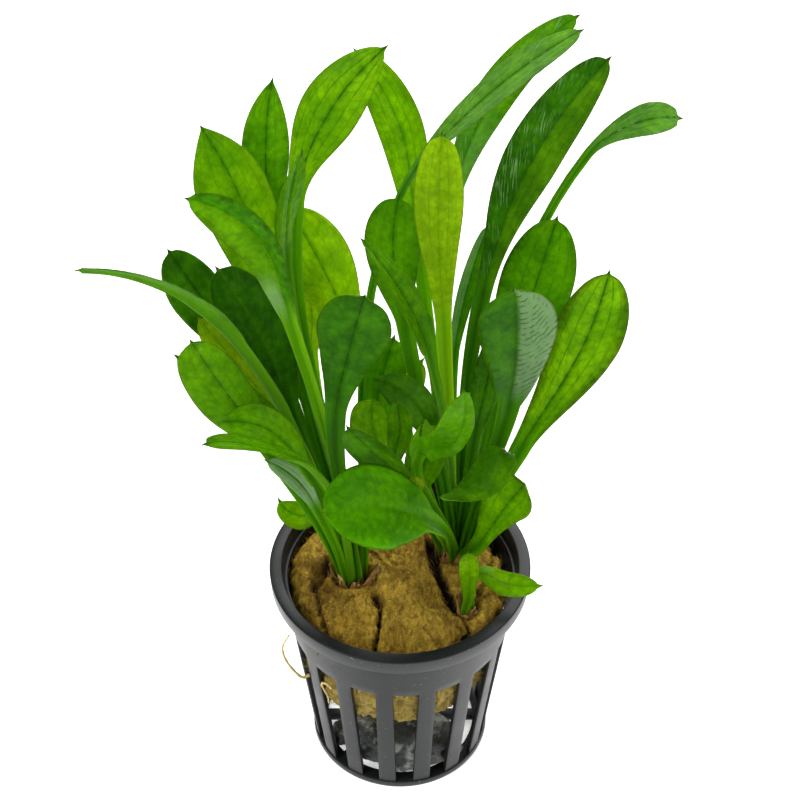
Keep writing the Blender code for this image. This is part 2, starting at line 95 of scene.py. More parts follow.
WOOL_CRACKS = (
    (0.4, 2.8, ((-5.7, -24.0), (-5.2, -20.0), (-4.6, -16.6), (-3.9, -10.8), (-5.0, -7.0))),
    (1.1, 1.8, ((-5.0, -7.0), (-4.2, -9.6))),
    (1.1, 3.2, ((6.5, 8.6), (7.9, 0.4), (9.8, -5.0), (11.0, -8.3), (12.2, -11.0))),
    (0.5, 1.8, ((12.2, -11.0), (14.4, -15.4), (12.8, -19.0))),
    (0.9, 2.6, ((-15.2, 3.5), (-16.6, -1.5), (-18.3, -4.2))),
    (0.4, 1.4, ((-17.8, -4.0), (-16.5, -10.8), (-13.8, -18.4))),
    (0.5, 1.6, ((20.2, 8.6), (19.5, 3.0), (16.3, -6.7))),
)

# Crowns: centre of each on the wool and its radius
CROWN_TOP = 49.0
CROWN_DEPTH = 9.0
SEAT_PITCH = 2.0
LEAN_REACH = 20.0
STALK_START = CROWN_TOP + GAP
STALK_UPRIGHT = 0.8
STALK_SINK = 1.8
BUNDLE = 0.54
Crown = namedtuple("Crown", "name x y radius")
LEFT = Crown("crown_left", -10.0, -1.0, 4.8)
RIGHT = Crown("crown_right", 12.0, 7.0, 5.4)
OFFSET = Crown("crown_offset", 14.0, -9.5, 2.4)
CROWNS = (LEFT, RIGHT, OFFSET)

# Stones on the pot's floor: centre, size and seed of the roughness
STONES = {
    "weight_stone": ((1.0, -11.0, 6.8), (25.0, 14.0, 10.0), 3.0),
    "pebble": ((-13.4, -8.6, 5.2), (4.4, 4.4, 7.0), 8.0),
}

# Roots outside the wool: thickness, then the knots of each route
ROOTS = {
    "root_left": (
        0.7,
        (-19.6, -9.6, 26.4),
        (-21.4, -10.2, 26.6),
        (-24.2, -9.8, 31.0),
        (-25.0, -9.6, 35.5),
        (-23.2, -12.6, 43.0),
    ),
    "root_front": (
        0.6,
        (-14.4, -17.4, 31.5),
        (-15.6, -16.9, 32.5),
        (-16.6, -15.9, 31.0),
        (-15.4, -16.6, 28.0),
        (-15.2, -16.8, 26.0),
    ),
}

# Each leaf: the crown it grows from, where its blade starts, bends and ends, the blade's width,
# where its upper face looks (heading from +X toward +Y, then height above level, in degrees),
# how far its halves fold up from the midrib, how far the blade twists from neck to tip, its
# outline (where it is widest, how slowly it widens up to there and how pointed its end is), its
# tone of green, how winged its stalk is under the blade, and how much wider its left half is.
LEAF_FIELDS = "name crown neck middle tip width face fold twist widest taper end tone wing lop"
Leaf = namedtuple("Leaf", LEAF_FIELDS, defaults=((-90, 42), 10, 0, 0.54, 1.0, 0.5, "mid", 1.0, 0.0))


def leaf(name, *measures, **shape):
    return Leaf("leaf_" + name, *measures, **shape)


LEAVES = (
    leaf("left_01", LEFT, (-30, -3, 114), (-43, -4, 129), (-58, -5, 133.4), 11, (90, 53)),
    leaf(
        "left_02", LEFT, (-26, -8, 94), (-33, -9, 109), (-38, -10, 121.6), 11, (-100, 45),
        taper=0.8, end=0.3, lop=0.1,
    ),
    leaf(
        "left_03", LEFT, (-28, 13, 94), (-39.2, 16, 111.4), (-45, 19, 120), 11.5, (-60, 45),
        tone="deep", lop=0.12,
    ),
    leaf(
        "left_04", LEFT, (-22, 7, 91), (-28, 9, 109), (-35, 11, 122), 12.5, (-80, 30),
        end=0.4, tone="deep",
    ),
    leaf(
        "left_05", LEFT, (-20, -3, 120), (-26, -5, 142), (-36.8, -8, 151.3), 10, (-118, 30), 28,
        tone="bright",
    ),
    leaf(
        "left_06", LEFT, (-22.7, 13.6, 105.8), (-31, 23, 130.6), (-38, 30, 141), 14.2,
        taper=0.8, end=0.9, lop=0.12,
    ),
    leaf("left_07", LEFT, (-25, 24, 121), (-26, 32, 134), (-24.3, 38, 146.6), 9.4, end=0.85),
    leaf(
        "left_08", LEFT, (-19, 8, 139), (-13, 11, 155.2), (-2, 14, 168), 11,
        widest=0.58, taper=2.0, end=0.7, lop=-0.02,
    ),
    leaf("left_09", LEFT, (-21, 3, 129), (-20, 3, 142), (-17, 4, 153), 8, (-30, 20)),
    leaf("left_10", LEFT, (-18, 20, 93), (-18, 26, 99), (-20, 32, 107), 7, tone="young"),
    leaf(
        "left_11", LEFT, (-12.2, -9, 101), (-8.8, -13, 123), (-6, -15, 136), 13.6, (-90, 30),
        widest=0.7, taper=1.9, end=0.36, tone="deep", lop=0.02,
    ),
    leaf("left_12", LEFT, (-5, 12, 84), (-3, 14, 94), (-1, 16, 101), 9, end=0.3, widest=0.6),
    leaf(
        "left_13", LEFT, (0, 18, 133), (16, 26, 150), (34, 33, 160), 6.6, (-60, 70),
        widest=0.66, taper=2.2, wing=0.6,
    ),
    leaf(
        "left_14", LEFT, (-17.2, 7.6, 59.6), (-21.2, 7.6, 58), (-25.6, 7.6, 63.6), 6.2, (-90, 50),
        tone="bright",
    ),
    leaf("left_15", LEFT, (-22, 2, 89), (-30, 3, 102), (-38.4, 4, 115.6), 7.4, tone="young"),
    leaf("left_16", LEFT, (-20, -4, 87), (-30, -5, 101), (-41.9, -6, 114.6), 8),
    leaf("left_17", LEFT, (-19, -10, 91), (-26, -12, 102), (-33, -13, 104), 8, (-90, 50)),
    leaf("left_18", LEFT, (-17, -14, 93), (-27, -19, 103.6), (-35.8, -23, 107.6), 6.6, (90, 83), end=0.35),
    leaf("left_19", LEFT, (-16.6, -9.2, 78), (-20.6, -10.2, 87), (-26, -11, 92.4), 4),
    leaf("right_01", RIGHT, (3, 28, 119), (0, 37, 136), (-9, 43, 150), 9.2, tone="bright"),
    leaf("right_02", RIGHT, (-9.6, 22, 97), (-16.5, 31, 108), (-23, 40, 115), 13.6, tone="bright"),
    leaf("right_03", RIGHT, (1, 12, 84), (2, 14, 90), (5, 16, 95), 6, tone="young"),
    leaf("right_04", RIGHT, (6, 2, 87), (2, 0, 98), (-5, -2, 105), 8, (-90, 42), 20, tone="deep"),
    leaf(
        "right_05", RIGHT, (0.8, 6, 113), (-1.3, 9, 128), (0, 12, 138), 10.9, (-90, 20),
        widest=0.62, taper=1.3, end=0.42,
    ),
    leaf(
        "right_06", RIGHT, (5.2, 2, 108.5), (0, -1, 126), (-7, -3, 139), 7.8, (-50, 50), 30,
        widest=0.36, taper=0.7, end=0.75, lop=-0.22,
    ),
    leaf(
        "right_07", RIGHT, (8.4, 5, 111), (7, 5, 136), (7.3, 5, 156), 9.2, (-90, 15),
        widest=0.66, taper=1.8, end=0.42, tone="young",
    ),
    leaf("right_08", RIGHT, (10, 34, 118), (18.6, 44, 138.6), (35, 50, 153.3), 8, taper=1.6),
    leaf(
        "right_09", RIGHT, (15.3, 10, 112), (23.2, 18, 138), (38, 22, 161), 10.6, (-100, 40),
        widest=0.6, taper=2.6, end=0.45, tone="deep", lop=0.06,
    ),
    leaf(
        "right_10", RIGHT, (35, 23, 139), (44.5, 25, 145), (53, 26, 145), 6.4, (-90, 60), 10, -40,
        widest=0.7, taper=2.0, end=0.35, wing=0.8,
    ),
    leaf("right_11", RIGHT, (20.6, 9, 94), (26.2, 14, 115), (30, 19, 128), 14.4),
    leaf(
        "right_12", RIGHT, (21, -2, 99), (21.3, -6, 119), (20.2, -8, 132), 16, (-90, 30), 25,
        widest=0.74, end=0.2, tone="deep",
    ),
    leaf(
        "right_13", RIGHT, (24, 1, 84), (35, 4, 108), (39, 6, 125), 13.5, (-90, 50),
        widest=0.62, taper=1.7,
    ),
    leaf(
        "right_14", RIGHT, (3.6, -10, 93), (10, -15, 101), (11.2, -18, 117), 9.4, (-70, 35), 10,
        widest=0.5, taper=0.8, end=0.35, lop=-0.48,
    ),
    leaf(
        "right_15", RIGHT, (20, -10, 93), (14.4, -19.6, 93.2), (7, -27, 98.4), 7.8, (-60, 75), 20,
        widest=0.3, taper=0.7, end=1.25, tone="deep",
    ),
    leaf(
        "right_16", RIGHT, (16, -3, 60), (21, -9, 78), (24, -13, 88), 12, (-110, 40),
        widest=0.72, taper=2.0, end=0.28, lop=-0.2,
    ),
    leaf("right_17", RIGHT, (5, -14, 79), (-5, -21, 90), (-15, -25, 92), 17, (-90, 55), lop=0.04),
    leaf("right_18", RIGHT, (1, -8, 84), (-5, -12, 95), (-10, -14, 104), 9, (-130, 40), tone="deep"),
    leaf("right_19", RIGHT, (-3, 3, 79), (-5.4, 3, 88), (-5, 3, 96), 8, end=0.3, tone="bright", lop=0.15),
    leaf("right_20", RIGHT, (-1, -5, 86), (0, -5, 95), (-1, -5, 103), 5),
    leaf("right_21", RIGHT, (4, 1, 72), (5, 0, 82), (8, -1, 93), 8),
    leaf("right_22", RIGHT, (3, -11, 84), (3, -11, 86), (2, -11, 89), 3.5, tone="young"),
    leaf("right_23", RIGHT, (11, 16, 97), (13, 19, 109), (17.2, 22, 124), 3.5),
    leaf("right_24", RIGHT, (15, 4, 85), (17, 5, 98), (19, 6, 112), 6, tone="deep"),
    leaf(
        "offset_01", OFFSET, (16, -8, 57), (22, -11, 57), (29, -14, 60), 5.4, (-90, 60),
        end=0.6, tone="bright",
    ),
    leaf(
        "offset_02", OFFSET, (14, -11, 53), (14, -12, 61), (13.4, -13, 69), 4.2, (-90, 30),
        end=0.15, widest=0.7, tone="bright",
    ),
)

# Surface of single leaves where it differs from the usual: painted silver sheen, standing in for
# light reflected off the upper face, on the left and right half and the share of the blade where it
# ends, painted highlights as bright streaks where wet wrinkles catch the light (side -1 or 1 for
# the left or right half only), strength of the veins, height of the ruffles at the margin and of
# the wrinkles between the veins, how much lighter or darker the leaf is than its tone, how much
# lighter its right half is than the rest as painted light (darker as painted shade below 0), how
# dark its border is with painted shade (lighter with painted light below 0), how dark its midrib is
# (pale below 0), and dark furrows that rise from the midrib to the margin
SURFACE_FIELDS = (
    "bloom_left bloom_right bloom_end streaks side veins ruffle wrinkle shift right border rib furrows"
)
USUAL = (0.0, 0.0, 1.2, 0.0, 0, 0.5, 0.5, 0.05, 0.0, 0.0, 0.25, 0.9, 0.0)
Surface = namedtuple("Surface", SURFACE_FIELDS, defaults=USUAL)
SURFACES = {
    "leaf_left_01": Surface(0.2, 1.0, 0.75, veins=0.2, shift=-0.35),
    "leaf_left_02": Surface(veins=0.4, shift=0.05),
    "leaf_left_03": Surface(veins=0.3, shift=-0.05),
    "leaf_left_04": Surface(streaks=0.12, veins=0.3, wrinkle=0.09, shift=-0.25, rib=-0.5),
    "leaf_left_05": Surface(0.75, 0.0, 0.3, veins=0.15, wrinkle=0.1, shift=-0.2, right=-0.5, rib=0.2),
    "leaf_left_06": Surface(veins=0.6, wrinkle=0.1, shift=0.25),
    "leaf_left_07": Surface(veins=0.6, rib=1.0),
    "leaf_left_08": Surface(veins=0.9, wrinkle=0.1, shift=0.35, border=0.1, rib=1.1),
    "leaf_left_11": Surface(veins=0.4, shift=-0.15, rib=1.1, border=0.1),
    "leaf_left_13": Surface(0.1, 0.15, streaks=0.6, wrinkle=0.1),
    "leaf_left_19": Surface(0.6, 0.6),
    "leaf_right_01": Surface(veins=0.8),
    "leaf_right_02": Surface(veins=0.5, shift=0.3, border=0.1),
    "leaf_right_04": Surface(veins=0.2, shift=0.12, rib=0.4),
    "leaf_right_05": Surface(shift=-0.05),
    "leaf_right_07": Surface(streaks=0.15, veins=0.8, wrinkle=0.22, border=-0.1, rib=0.5),
    "leaf_right_08": Surface(0.05, 0.15, 0.5, streaks=1.0, side=-1, veins=0.3, shift=-0.05, rib=0.7),
    "leaf_right_09": Surface(
        streaks=1.0, side=-1, veins=0.5, wrinkle=0.14, shift=-0.25, right=0.75, rib=0.5
    ),
    "leaf_right_10": Surface(0.1, 0.1, streaks=0.8, wrinkle=0.1, shift=-0.1),
    "leaf_right_11": Surface(veins=0.7, shift=-0.08, rib=1.1),
    "leaf_right_12": Surface(
        0.0, 0.42, veins=0.3, wrinkle=0.12, shift=-0.12, right=0.3, rib=0.3, furrows=1.0
    ),
    "leaf_right_13": Surface(veins=1.0, wrinkle=0.12, shift=0.42, border=1.0, rib=1.2),
    "leaf_right_14": Surface(veins=0.15, shift=-0.15, border=0.0, rib=0.3),
    "leaf_right_15": Surface(veins=0.25, wrinkle=0.12, shift=0.35, right=-0.2, rib=-0.3),
    "leaf_right_16": Surface(veins=0.7, shift=0.2, border=0.5),
    "leaf_right_17": Surface(veins=0.12, ruffle=0.7, shift=-0.33, border=-0.3, rib=-0.15),
    "leaf_right_18": Surface(veins=0.3, shift=0.12, rib=0.5),
    "leaf_right_23": Surface(0.4, 0.0),
    "leaf_offset_01": Surface(0.2, 0.0, 0.3, veins=0.2, ruffle=0.9, rib=0.5),
    "leaf_offset_02": Surface(veins=0.2, ruffle=0.9, wrinkle=0.15, rib=0.4),
}

# Leaf greens as sRGB: blade between its veins, its second shade, veins, underside, stalk, and
# how much of the light comes through
Tone = namedtuple("Tone", "blade shade vein under stalk glow")
TONES = {
    "deep": Tone("3E7D03", "2B6302", "1A4A01", "4C8410", "356E03", 0.22),
    "mid": Tone("62A203", "4B8C02", "2F6B02", "68A018", "438004", 0.36),
    "bright": Tone("7AB004", "649C03", "458002", "82B322", "549208", 0.44),
    "young": Tone("86AC0B", "769C08", "5C8804", "A0C634", "76A80F", 0.5),
}


def metres(name, description, default):
    """A setting that is a length."""
    return FloatProperty(name=name, description=description, default=default, unit="LENGTH")


class PotSettings(bpy.types.PropertyGroup):
    height: metres("Height", "Height of the pot", 0.052)
    rim_radius: metres("Rim radius", "Outer radius of the rim", 0.0275)
    mouth_radius: metres("Mouth radius", "Radius of the mouth", 0.0249)
    foot_radius: metres("Foot radius", "Radius of the foot", 0.0197)
    rim_depth: metres("Rim depth", "Depth of the band under the rim", 0.0037)
    wall: metres("Wall", "Thickness of the wall", 0.001)
    slots: IntProperty(name="Slots", description="Number of water slots in the wall", default=16)


class WoolSettings(bpy.types.PropertyGroup):
    radius: metres("Radius", "Radius of the wrapped block at its top", 0.0233)
    lump: metres("Lumps", "Height of the broad lumps", 0.0009)
    fibres: IntProperty(name="Fibres", description="Number of loose fibres on the block", default=11000)
    fibre_length: metres("Fibre length", "Mean length of a loose fibre", 0.002)


class LeafSettings(bpy.types.PropertyGroup):
    stalk_width: metres("Stalk width", "Width of a stalk at its foot", 0.0019)
    neck_width: metres("Neck width", "Width of a stalk under its blade", 0.0027)
    thickness: metres("Blade thickness", "Thickness of a blade", 0.00034)
    point: metres("Point", "Length of the hard point on a leaf's tip", 0.0014)
    vein_pitch: metres("Vein pitch", "Distance between cross veins", 0.0022)


class StageSettings(bpy.types.PropertyGroup):
    floor_colour: FloatVectorProperty(
        name="Floor colour", description="Colour of the floor", subtype="COLOR", default=(0.91, 0.91, 0.90)
    )
    floor_glow: FloatProperty(name="Floor glow", description="Light that the floor gives off", default=0.45)
    key_power: FloatProperty(
        name="Key light", description="Power of the key light", default=5.0, unit="POWER"
    )
    back_power: FloatProperty(
        name="Back light", description="Power of the light behind the leaves", default=7.0, unit="POWER"
    )
    sky: FloatProperty(name="Surround", description="Strength of the white surround", default=0.8)


class PlantSettings(bpy.types.PropertyGroup):
    pot: PointerProperty(type=PotSettings, name="Pot", description="Sizes of the net pot")
    wool: PointerProperty(type=WoolSettings, name="Wool", description="Sizes of the rock wool")
    leaves: PointerProperty(type=LeafSettings, name="Leaves", description="Sizes of the leaves")
    stage: PointerProperty(type=StageSettings, name="Stage", description="Floor and lights")


def linear(code):
    """Linear colour of an sRGB hex value."""
    parts = [int(code[place : place + 2], 16) / 255 for place in (0, 2, 4)]
    return (*[p / 12.92 if p <= 0.04045 else ((p + 0.055) / 1.055) ** 2.4 for p in parts], 1.0)


# Kinds of node: Blender's name and settings, the inputs that its values go to in turn, and the
# output that is read
NOISE_INPUTS = ("Vector", "Scale", "Detail", "Roughness")
SKIN_INPUTS = ("Base Color", "Roughness", "Normal", "Specular IOR Level", "IOR")
EDGES_2D = {"feature": "DISTANCE_TO_EDGE", "voronoi_dimensions": "2D"}
KINDS = {
    "place": ("ShaderNodeTexCoord", {}, (), "Object"),
    "skyward": ("ShaderNodeTexCoord", {}, (), "Generated"),
    "painted": ("ShaderNodeAttribute", {}, (), "Vector"),
    "painted level": ("ShaderNodeAttribute", {}, (), "Fac"),
    "axes": ("ShaderNodeSeparateXYZ", {}, (0,), slice(None)),
    "vector": ("ShaderNodeCombineXYZ", {}, (0, 1, 2), 0),
    "noise": ("ShaderNodeTexNoise", {}, NOISE_INPUTS, "Fac"),
    "eddies": ("ShaderNodeTexNoise", {}, NOISE_INPUTS, "Color"),
    "cells": ("ShaderNodeTexVoronoi", EDGES_2D, ("Vector", "Scale", "Randomness"), "Distance"),
    "step": ("ShaderNodeMapRange", {"interpolation_type": "SMOOTHSTEP"}, range(5), 0),
    "slope": ("ShaderNodeMapRange", {}, range(5), 0),
    "mix": ("ShaderNodeMix", {"data_type": "RGBA"}, (0, 6, 7), 2),
    "tint": ("ShaderNodeMix", {"data_type": "RGBA", "blend_type": "MULTIPLY"}, (0, 6, 7), 2),
    "stretch": ("ShaderNodeVectorMath", {"operation": "MULTIPLY"}, (0, 1), 0),
    "move": ("ShaderNodeVectorMath", {"operation": "ADD"}, (0, 1), 0),
    "scale": ("ShaderNodeVectorMath", {"operation": "SCALE"}, (0, "Scale"), 0),
    "length": ("ShaderNodeVectorMath", {"operation": "LENGTH"}, (0,), "Value"),
    "bump": ("ShaderNodeBump", {}, ("Height", "Strength", "Distance"), 0),
    "skin": ("ShaderNodeBsdfPrincipled", {}, SKIN_INPUTS, 0),
    "glow": ("ShaderNodeBsdfTranslucent", {}, ("Color", "Normal"), 0),
    "layers": ("ShaderNodeMixShader", {}, (0, 1, 2), 0),
}
for operation in ("ADD", "SUBTRACT", "MULTIPLY", "DIVIDE", "MAXIMUM", "ABSOLUTE", "PINGPONG"):
    KINDS[operation.lower()] = ("ShaderNodeMath", {"operation": operation}, (0, 1), 0)


def add_node(tree, kind, *values, links=None, **settings):
    """Output of a new node with its settings and, for its inputs, linked sockets, numbers or sRGB hex
    values. Values past its inputs go through more nodes of the kind, one after another."""
    name, usual, inputs, output = KINDS[kind]
    node = tree.nodes.new(name)
    for key, value in {**usual, **settings}.items():
        setattr(node, key, value)
    for key, value in [*zip(inputs, values), *(links or {}).items()]:
        if isinstance(value, bpy.types.NodeSocket):
            tree.links.new(value, node.inputs[key])
        else:
            node.inputs[key].default_value = linear(value) if isinstance(value, str) else value
    rest = values[len(inputs) :]
    return add_node(tree, kind, node.outputs[output], *rest) if rest else node.outputs[output]


def per(size):
    """Scale of a pattern on metres whose cells are this many millimetres across."""
    return 1 / (size * MM)


def blank_material(name):
    """A new material, and the function that adds nodes to its empty tree."""
    made = bpy.data.materials.new(name)
    made.use_nodes = True
    made.node_tree.nodes.clear()
    return made, partial(add_node, made.node_tree)


def finished(made, shader):
    """The material with its shader linked to its output."""
    output = made.node_tree.nodes.new("ShaderNodeOutputMaterial")
    made.node_tree.links.new(shader, output.inputs["Surface"])
    return made


def smooth(low, high, value):
    """0 at low, 1 at high, and a smooth rise between them."""
    share = min(1.0, max(0.0, (value - low) / (high - low)))
    return share * share * (3 - 2 * share)


def bump(value, width):
    """A soft ridge: 1 where value is 0, fading over width."""
    return math.exp(-((value / width) ** 2))


def direction(heading, tilt):
    """Unit vector from a heading and a height above level, in degrees."""
    flat = math.cos(math.radians(tilt))
    return Vector(
        (
            flat * math.cos(math.radians(heading)),
            flat * math.sin(math.radians(heading)),
            math.sin(math.radians(tilt)),
        )
    )


def add_piece(name, shape, finishes, stands_for=()):
    """Object of a bmesh that was worked in millimetres, riding on the plant's one body."""
    bmesh.ops.scale(shape, vec=(MM, MM, MM), verts=shape.verts)
    mesh = bpy.data.meshes.new(name)
    shape.to_mesh(mesh)
    shape.free()
    for finish in finishes:
        mesh.materials.append(finish)
    mesh.shade_smooth()
    piece = bpy.data.objects.new(name, mesh)
    bpy.context.scene.collection.objects.link(piece)
    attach(piece, "root")
    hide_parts(*stands_for)
    return piece


def wrapped_grid(around, rows):
    """A sheet of unit size whose X is to be wrapped round a section and Y laid along a piece."""
    shape = bmesh.new()
    bmesh.ops.create_grid(shape, x_segments=around, y_segments=rows, size=0.5)
    bmesh.ops.translate(shape, verts=shape.verts, vec=(0.5, 0.5, 0))
    return shape


def close_up(shape):
    """Merges the seam of a wrapped grid, closes its ends and points its faces outwards."""
    bmesh.ops.remove_doubles(shape, verts=shape.verts, dist=1e-4)
    bmesh.ops.holes_fill(shape, edges=[edge for edge in shape.edges if edge.is_boundary])
    bmesh.ops.recalc_face_normals(shape, faces=shape.faces)


def seats_on(crown):
    """Places for leaf stalks on a crown, in a honeycomb."""
    rows = int(crown.radius / SEAT_PITCH) + 2
    places = []
    for row in range(-rows, rows + 1):
        for column in range(-rows, rows + 1):
            x = SEAT_PITCH * (column + 0.5 * row)
            y = SEAT_PITCH * row * math.sqrt(3) / 2
            if math.hypot(x, y) <= crown.radius:
                places.append(Vector((crown.x + x, crown.y + y, STALK_START)))
    return places


def swap_seats(seats, wanted, names):
    """Swaps the seats of two leaves wherever that brings both nearer to the way they lean."""
    swapped = True
    while swapped:
        swapped = False
        for index, first in enumerate(names):
            for second in names[index + 1 :]:
                now = (seats[first].xy - wanted[first]).length_squared
                now += (seats[second].xy - wanted[second]).length_squared
                other = (seats[first].xy - wanted[second]).length_squared
                other += (seats[second].xy - wanted[first]).length_squared
                if other < now - 1e-6:
                    seats[first], seats[second] = seats[second], seats[first]
                    swapped = True


def roots_of_leaves():
    """The seat that each leaf stalk grows from, so that stalks leaning alike stand side by side."""
    seats = {}
    for crown in CROWNS:
        free = seats_on(crown)
        centre = Vector((crown.x, crown.y, STALK_START))
        mine = [one for one in LEAVES if one.crown is crown]
        lean = {one.name: (Vector(one.neck) - centre) for one in mine}
        slope = {name: way.xy / way.z for name, way in lean.items()}
        wanted = {name: centre.xy + way * LEAN_REACH for name, way in slope.items()}
        for one in sorted(mine, key=lambda item: -slope[item.name].length):
            seat = min(free, key=lambda place: (place.xy - wanted[one.name]).length)
            free.remove(seat)
            seats[one.name] = seat
        swap_seats(seats, wanted, [one.name for one in mine])
    return seats


def gathered(one, seat):
    """Where a stalk leaves the wool: nearer its crown's middle than its seat, and a little deeper."""
    middle = Vector((one.crown.x, one.crown.y, seat.z))
    return middle + (seat - middle) * BUNDLE - Vector((0, 0, STALK_SINK))


def bezier(handles, share):
    """Point and direction at a share of a curve with four handles."""
    near = [p.lerp(q, share) for p, q in zip(handles, handles[1:])]
    mid = [p.lerp(q, share) for p, q in zip(near, near[1:])]
    return mid[0].lerp(mid[1], share), (mid[1] - mid[0]).normalized()


def midrib(one, root):
    """A leaf's midrib as a function: point and direction at a share of the stalk or the blade."""
    knots = [root, Vector(one.neck), Vector(one.middle), Vector(one.tip)]
    ways = [(b - a).normalized() for a, b in zip(knots, knots[1:])]
    start = (ways[0] + Vector((0, 0, STALK_UPRIGHT))).normalized()
    inner = [(a + b).normalized() for a, b in zip(ways, ways[1:])]
    end = (2 * ways[2] - inner[1]).normalized()
    tangents = [start, *inner, end]

    def at(span, share):
        a, b = knots[span], knots[span + 1]
        reach = (b - a).length / 3
        return bezier((a, a + tangents[span] * reach, b - tangents[span + 1] * reach, b), share)

    return at


def swell(one, share):
    """How much of its full width a blade has at a share of its length."""
    if share < one.widest:
        return math.sin(math.pi / 2 * share / one.widest) ** one.taper
    past = (share - one.widest) / (1 - one.widest)
    return max(0.0, math.cos(math.pi / 2 * past)) ** one.end


STALK_ROWS = 18
BLADE_ROW_PITCH = 0.55
LEAST_BLADE_ROWS = 36
LEAF_AROUND = 44
TIP_CROWDING = 1.35
POINT_ROOT_WIDTH = 1.07
POINT_TIP_WIDTH = 0.12
Station = namedtuple("Station", "point along up side half spread distance share")


def stations_along(one, root, sizes):
    """The rings of a leaf from its foot to its point, closer together towards its tip."""
    at = midrib(one, root)
    length = (Vector(one.tip) - Vector(one.middle)).length
    length += (Vector(one.middle) - Vector(one.neck)).length
    rows = max(LEAST_BLADE_ROWS, round(length / BLADE_ROW_PITCH))
    point = sizes.point / MM / length
    places = [(*at(0, row / STALK_ROWS), row / STALK_ROWS - 1) for row in range(STALK_ROWS)]
    for row in range(rows + 1):
        share = 1 - (1 - row / rows) ** TIP_CROWDING
        span = 1 if share <= 0.5 else 2
        places.append((*at(span, 2 * share - (span - 1)), share))
    foot = sizes.stalk_width / MM
    neck = sizes.neck_width / MM * (0.45 + 0.075 * one.width) * one.wing
    distance = -sum((b[0] - a[0]).length for a, b in zip(places, places[1:]) if b[2] <= 0)
    stations = []
    last = places[0][0]
    for place, along, share in places:
        distance += (place - last).length
        last = place
        blade = max(0.0, min(1.0, share / (1 - point)))
        if share > 1 - point:
            taper = ((1 - share) / point) ** 1.3
            width = POINT_TIP_WIDTH + (POINT_ROOT_WIDTH - POINT_TIP_WIDTH) * taper
        else:
            narrow = foot + (neck - foot) * (1 + min(share, 0)) ** 2 + (POINT_ROOT_WIDTH - neck) * blade
            width = narrow + (one.width - narrow) * (swell(one, blade) if share > 0 else 0.0)
        turned = Matrix.Rotation(math.radians(one.twist * (blade - 1.0)), 3, along)
        facing = turned @ direction(*one.face)
        up = (facing - along * facing.dot(along)).normalized()
        spread = smooth(0.0, 0.3, share) * (1 - smooth(1 - 1.6 * point, 1 - 0.7 * point, share))
        stations.append(Station(place, along, up, along.cross(up), width / 2, spread, distance, share))
    return stations


# Relief of a leaf in millimetres: the arch across a blade and the trough across a winged stalk, as
# shares of the half width; the groove over the midrib and the rib under it; the hollows over the
# side veins of each half (where each lies and how wide); broad rolls; and the stalk's own thickness
BLADE_ARCH = 0.1
STALK_TROUGH = 0.3
GROOVE = 0.22
RIB = 0.6
SIDE_VEIN_DEPTH = 0.09
SIDE_VEINS = ((0.38, 0.35), (0.7, 0.3))
ROLL = 0.55
STALK_HALF = 0.6
STALK_HOLLOW = 0.28


def section_point(one, surface, ring, turn, sizes, seed):
    """A point of a leaf's skin: turn runs from one margin over the upper face and back under it."""
    top = turn <= 0.5
    sweep = 4 * turn - 1 if top else 3 - 4 * turn
    level = math.copysign(abs(sweep) ** 1.2, sweep)
    across = math.sin(sweep * math.pi / 2) * (1 - ring.spread) + level * ring.spread
    offset = ring.half * across * (1 - math.copysign(one.lop, across) * ring.spread)
    reach = abs(across)
    fold = math.radians(one.fold) * ring.spread
    out = offset * math.cos(fold)
    rise = abs(offset) * math.sin(fold) - BLADE_ARCH * ring.spread * ring.half * reach**2
    rise += (1 - ring.spread) * STALK_TROUGH * ring.half * reach**2
    rise -= ring.spread * GROOVE * bump(offset, 0.4)
    veins = sum(bump((reach - lies_at) * ring.half, wide) for lies_at, wide in SIDE_VEINS)
    rise -= ring.spread * SIDE_VEIN_DEPTH * veins
    wave = noise.noise(Vector((ring.distance / 8.0, math.copysign(2.0, across), seed)))
    rise += ring.spread * surface.ruffle * reach**2.5 * wave
    roll = noise.noise(Vector((ring.distance / 16.0, across * 0.7, seed + 31)))
    rise += ring.spread * ROLL * roll
    pucker = noise.noise(Vector((offset / 1.3, (ring.distance - 0.6 * abs(offset)) / 0.75, seed + 57)))
    rise += ring.spread * surface.wrinkle * pucker * (1 - bump(offset, 0.5))
    stalk = STALK_HALF * math.sqrt(max(0.0, 1 - across**2)) * min(1.0, ring.half / 0.8)
    sheet = sizes.thickness / MM / 2 * math.sqrt(max(0.0, 1 - reach**8))
    if top:
        stalk -= STALK_HOLLOW * bump(across, 0.35)
        skin = stalk * (1 - ring.spread) + sheet * ring.spread
    else:
        rib = RIB * bump(offset, 0.5) * (1 - 0.75 * max(ring.share, 0.0))
        skin = -stalk * (1 - ring.spread) - (sheet + rib * (1 - reach)) * ring.spread
    place = ring.point + ring.side * out + ring.up * (rise + skin)
    return place, offset, across, 0.0 if top else 1.0


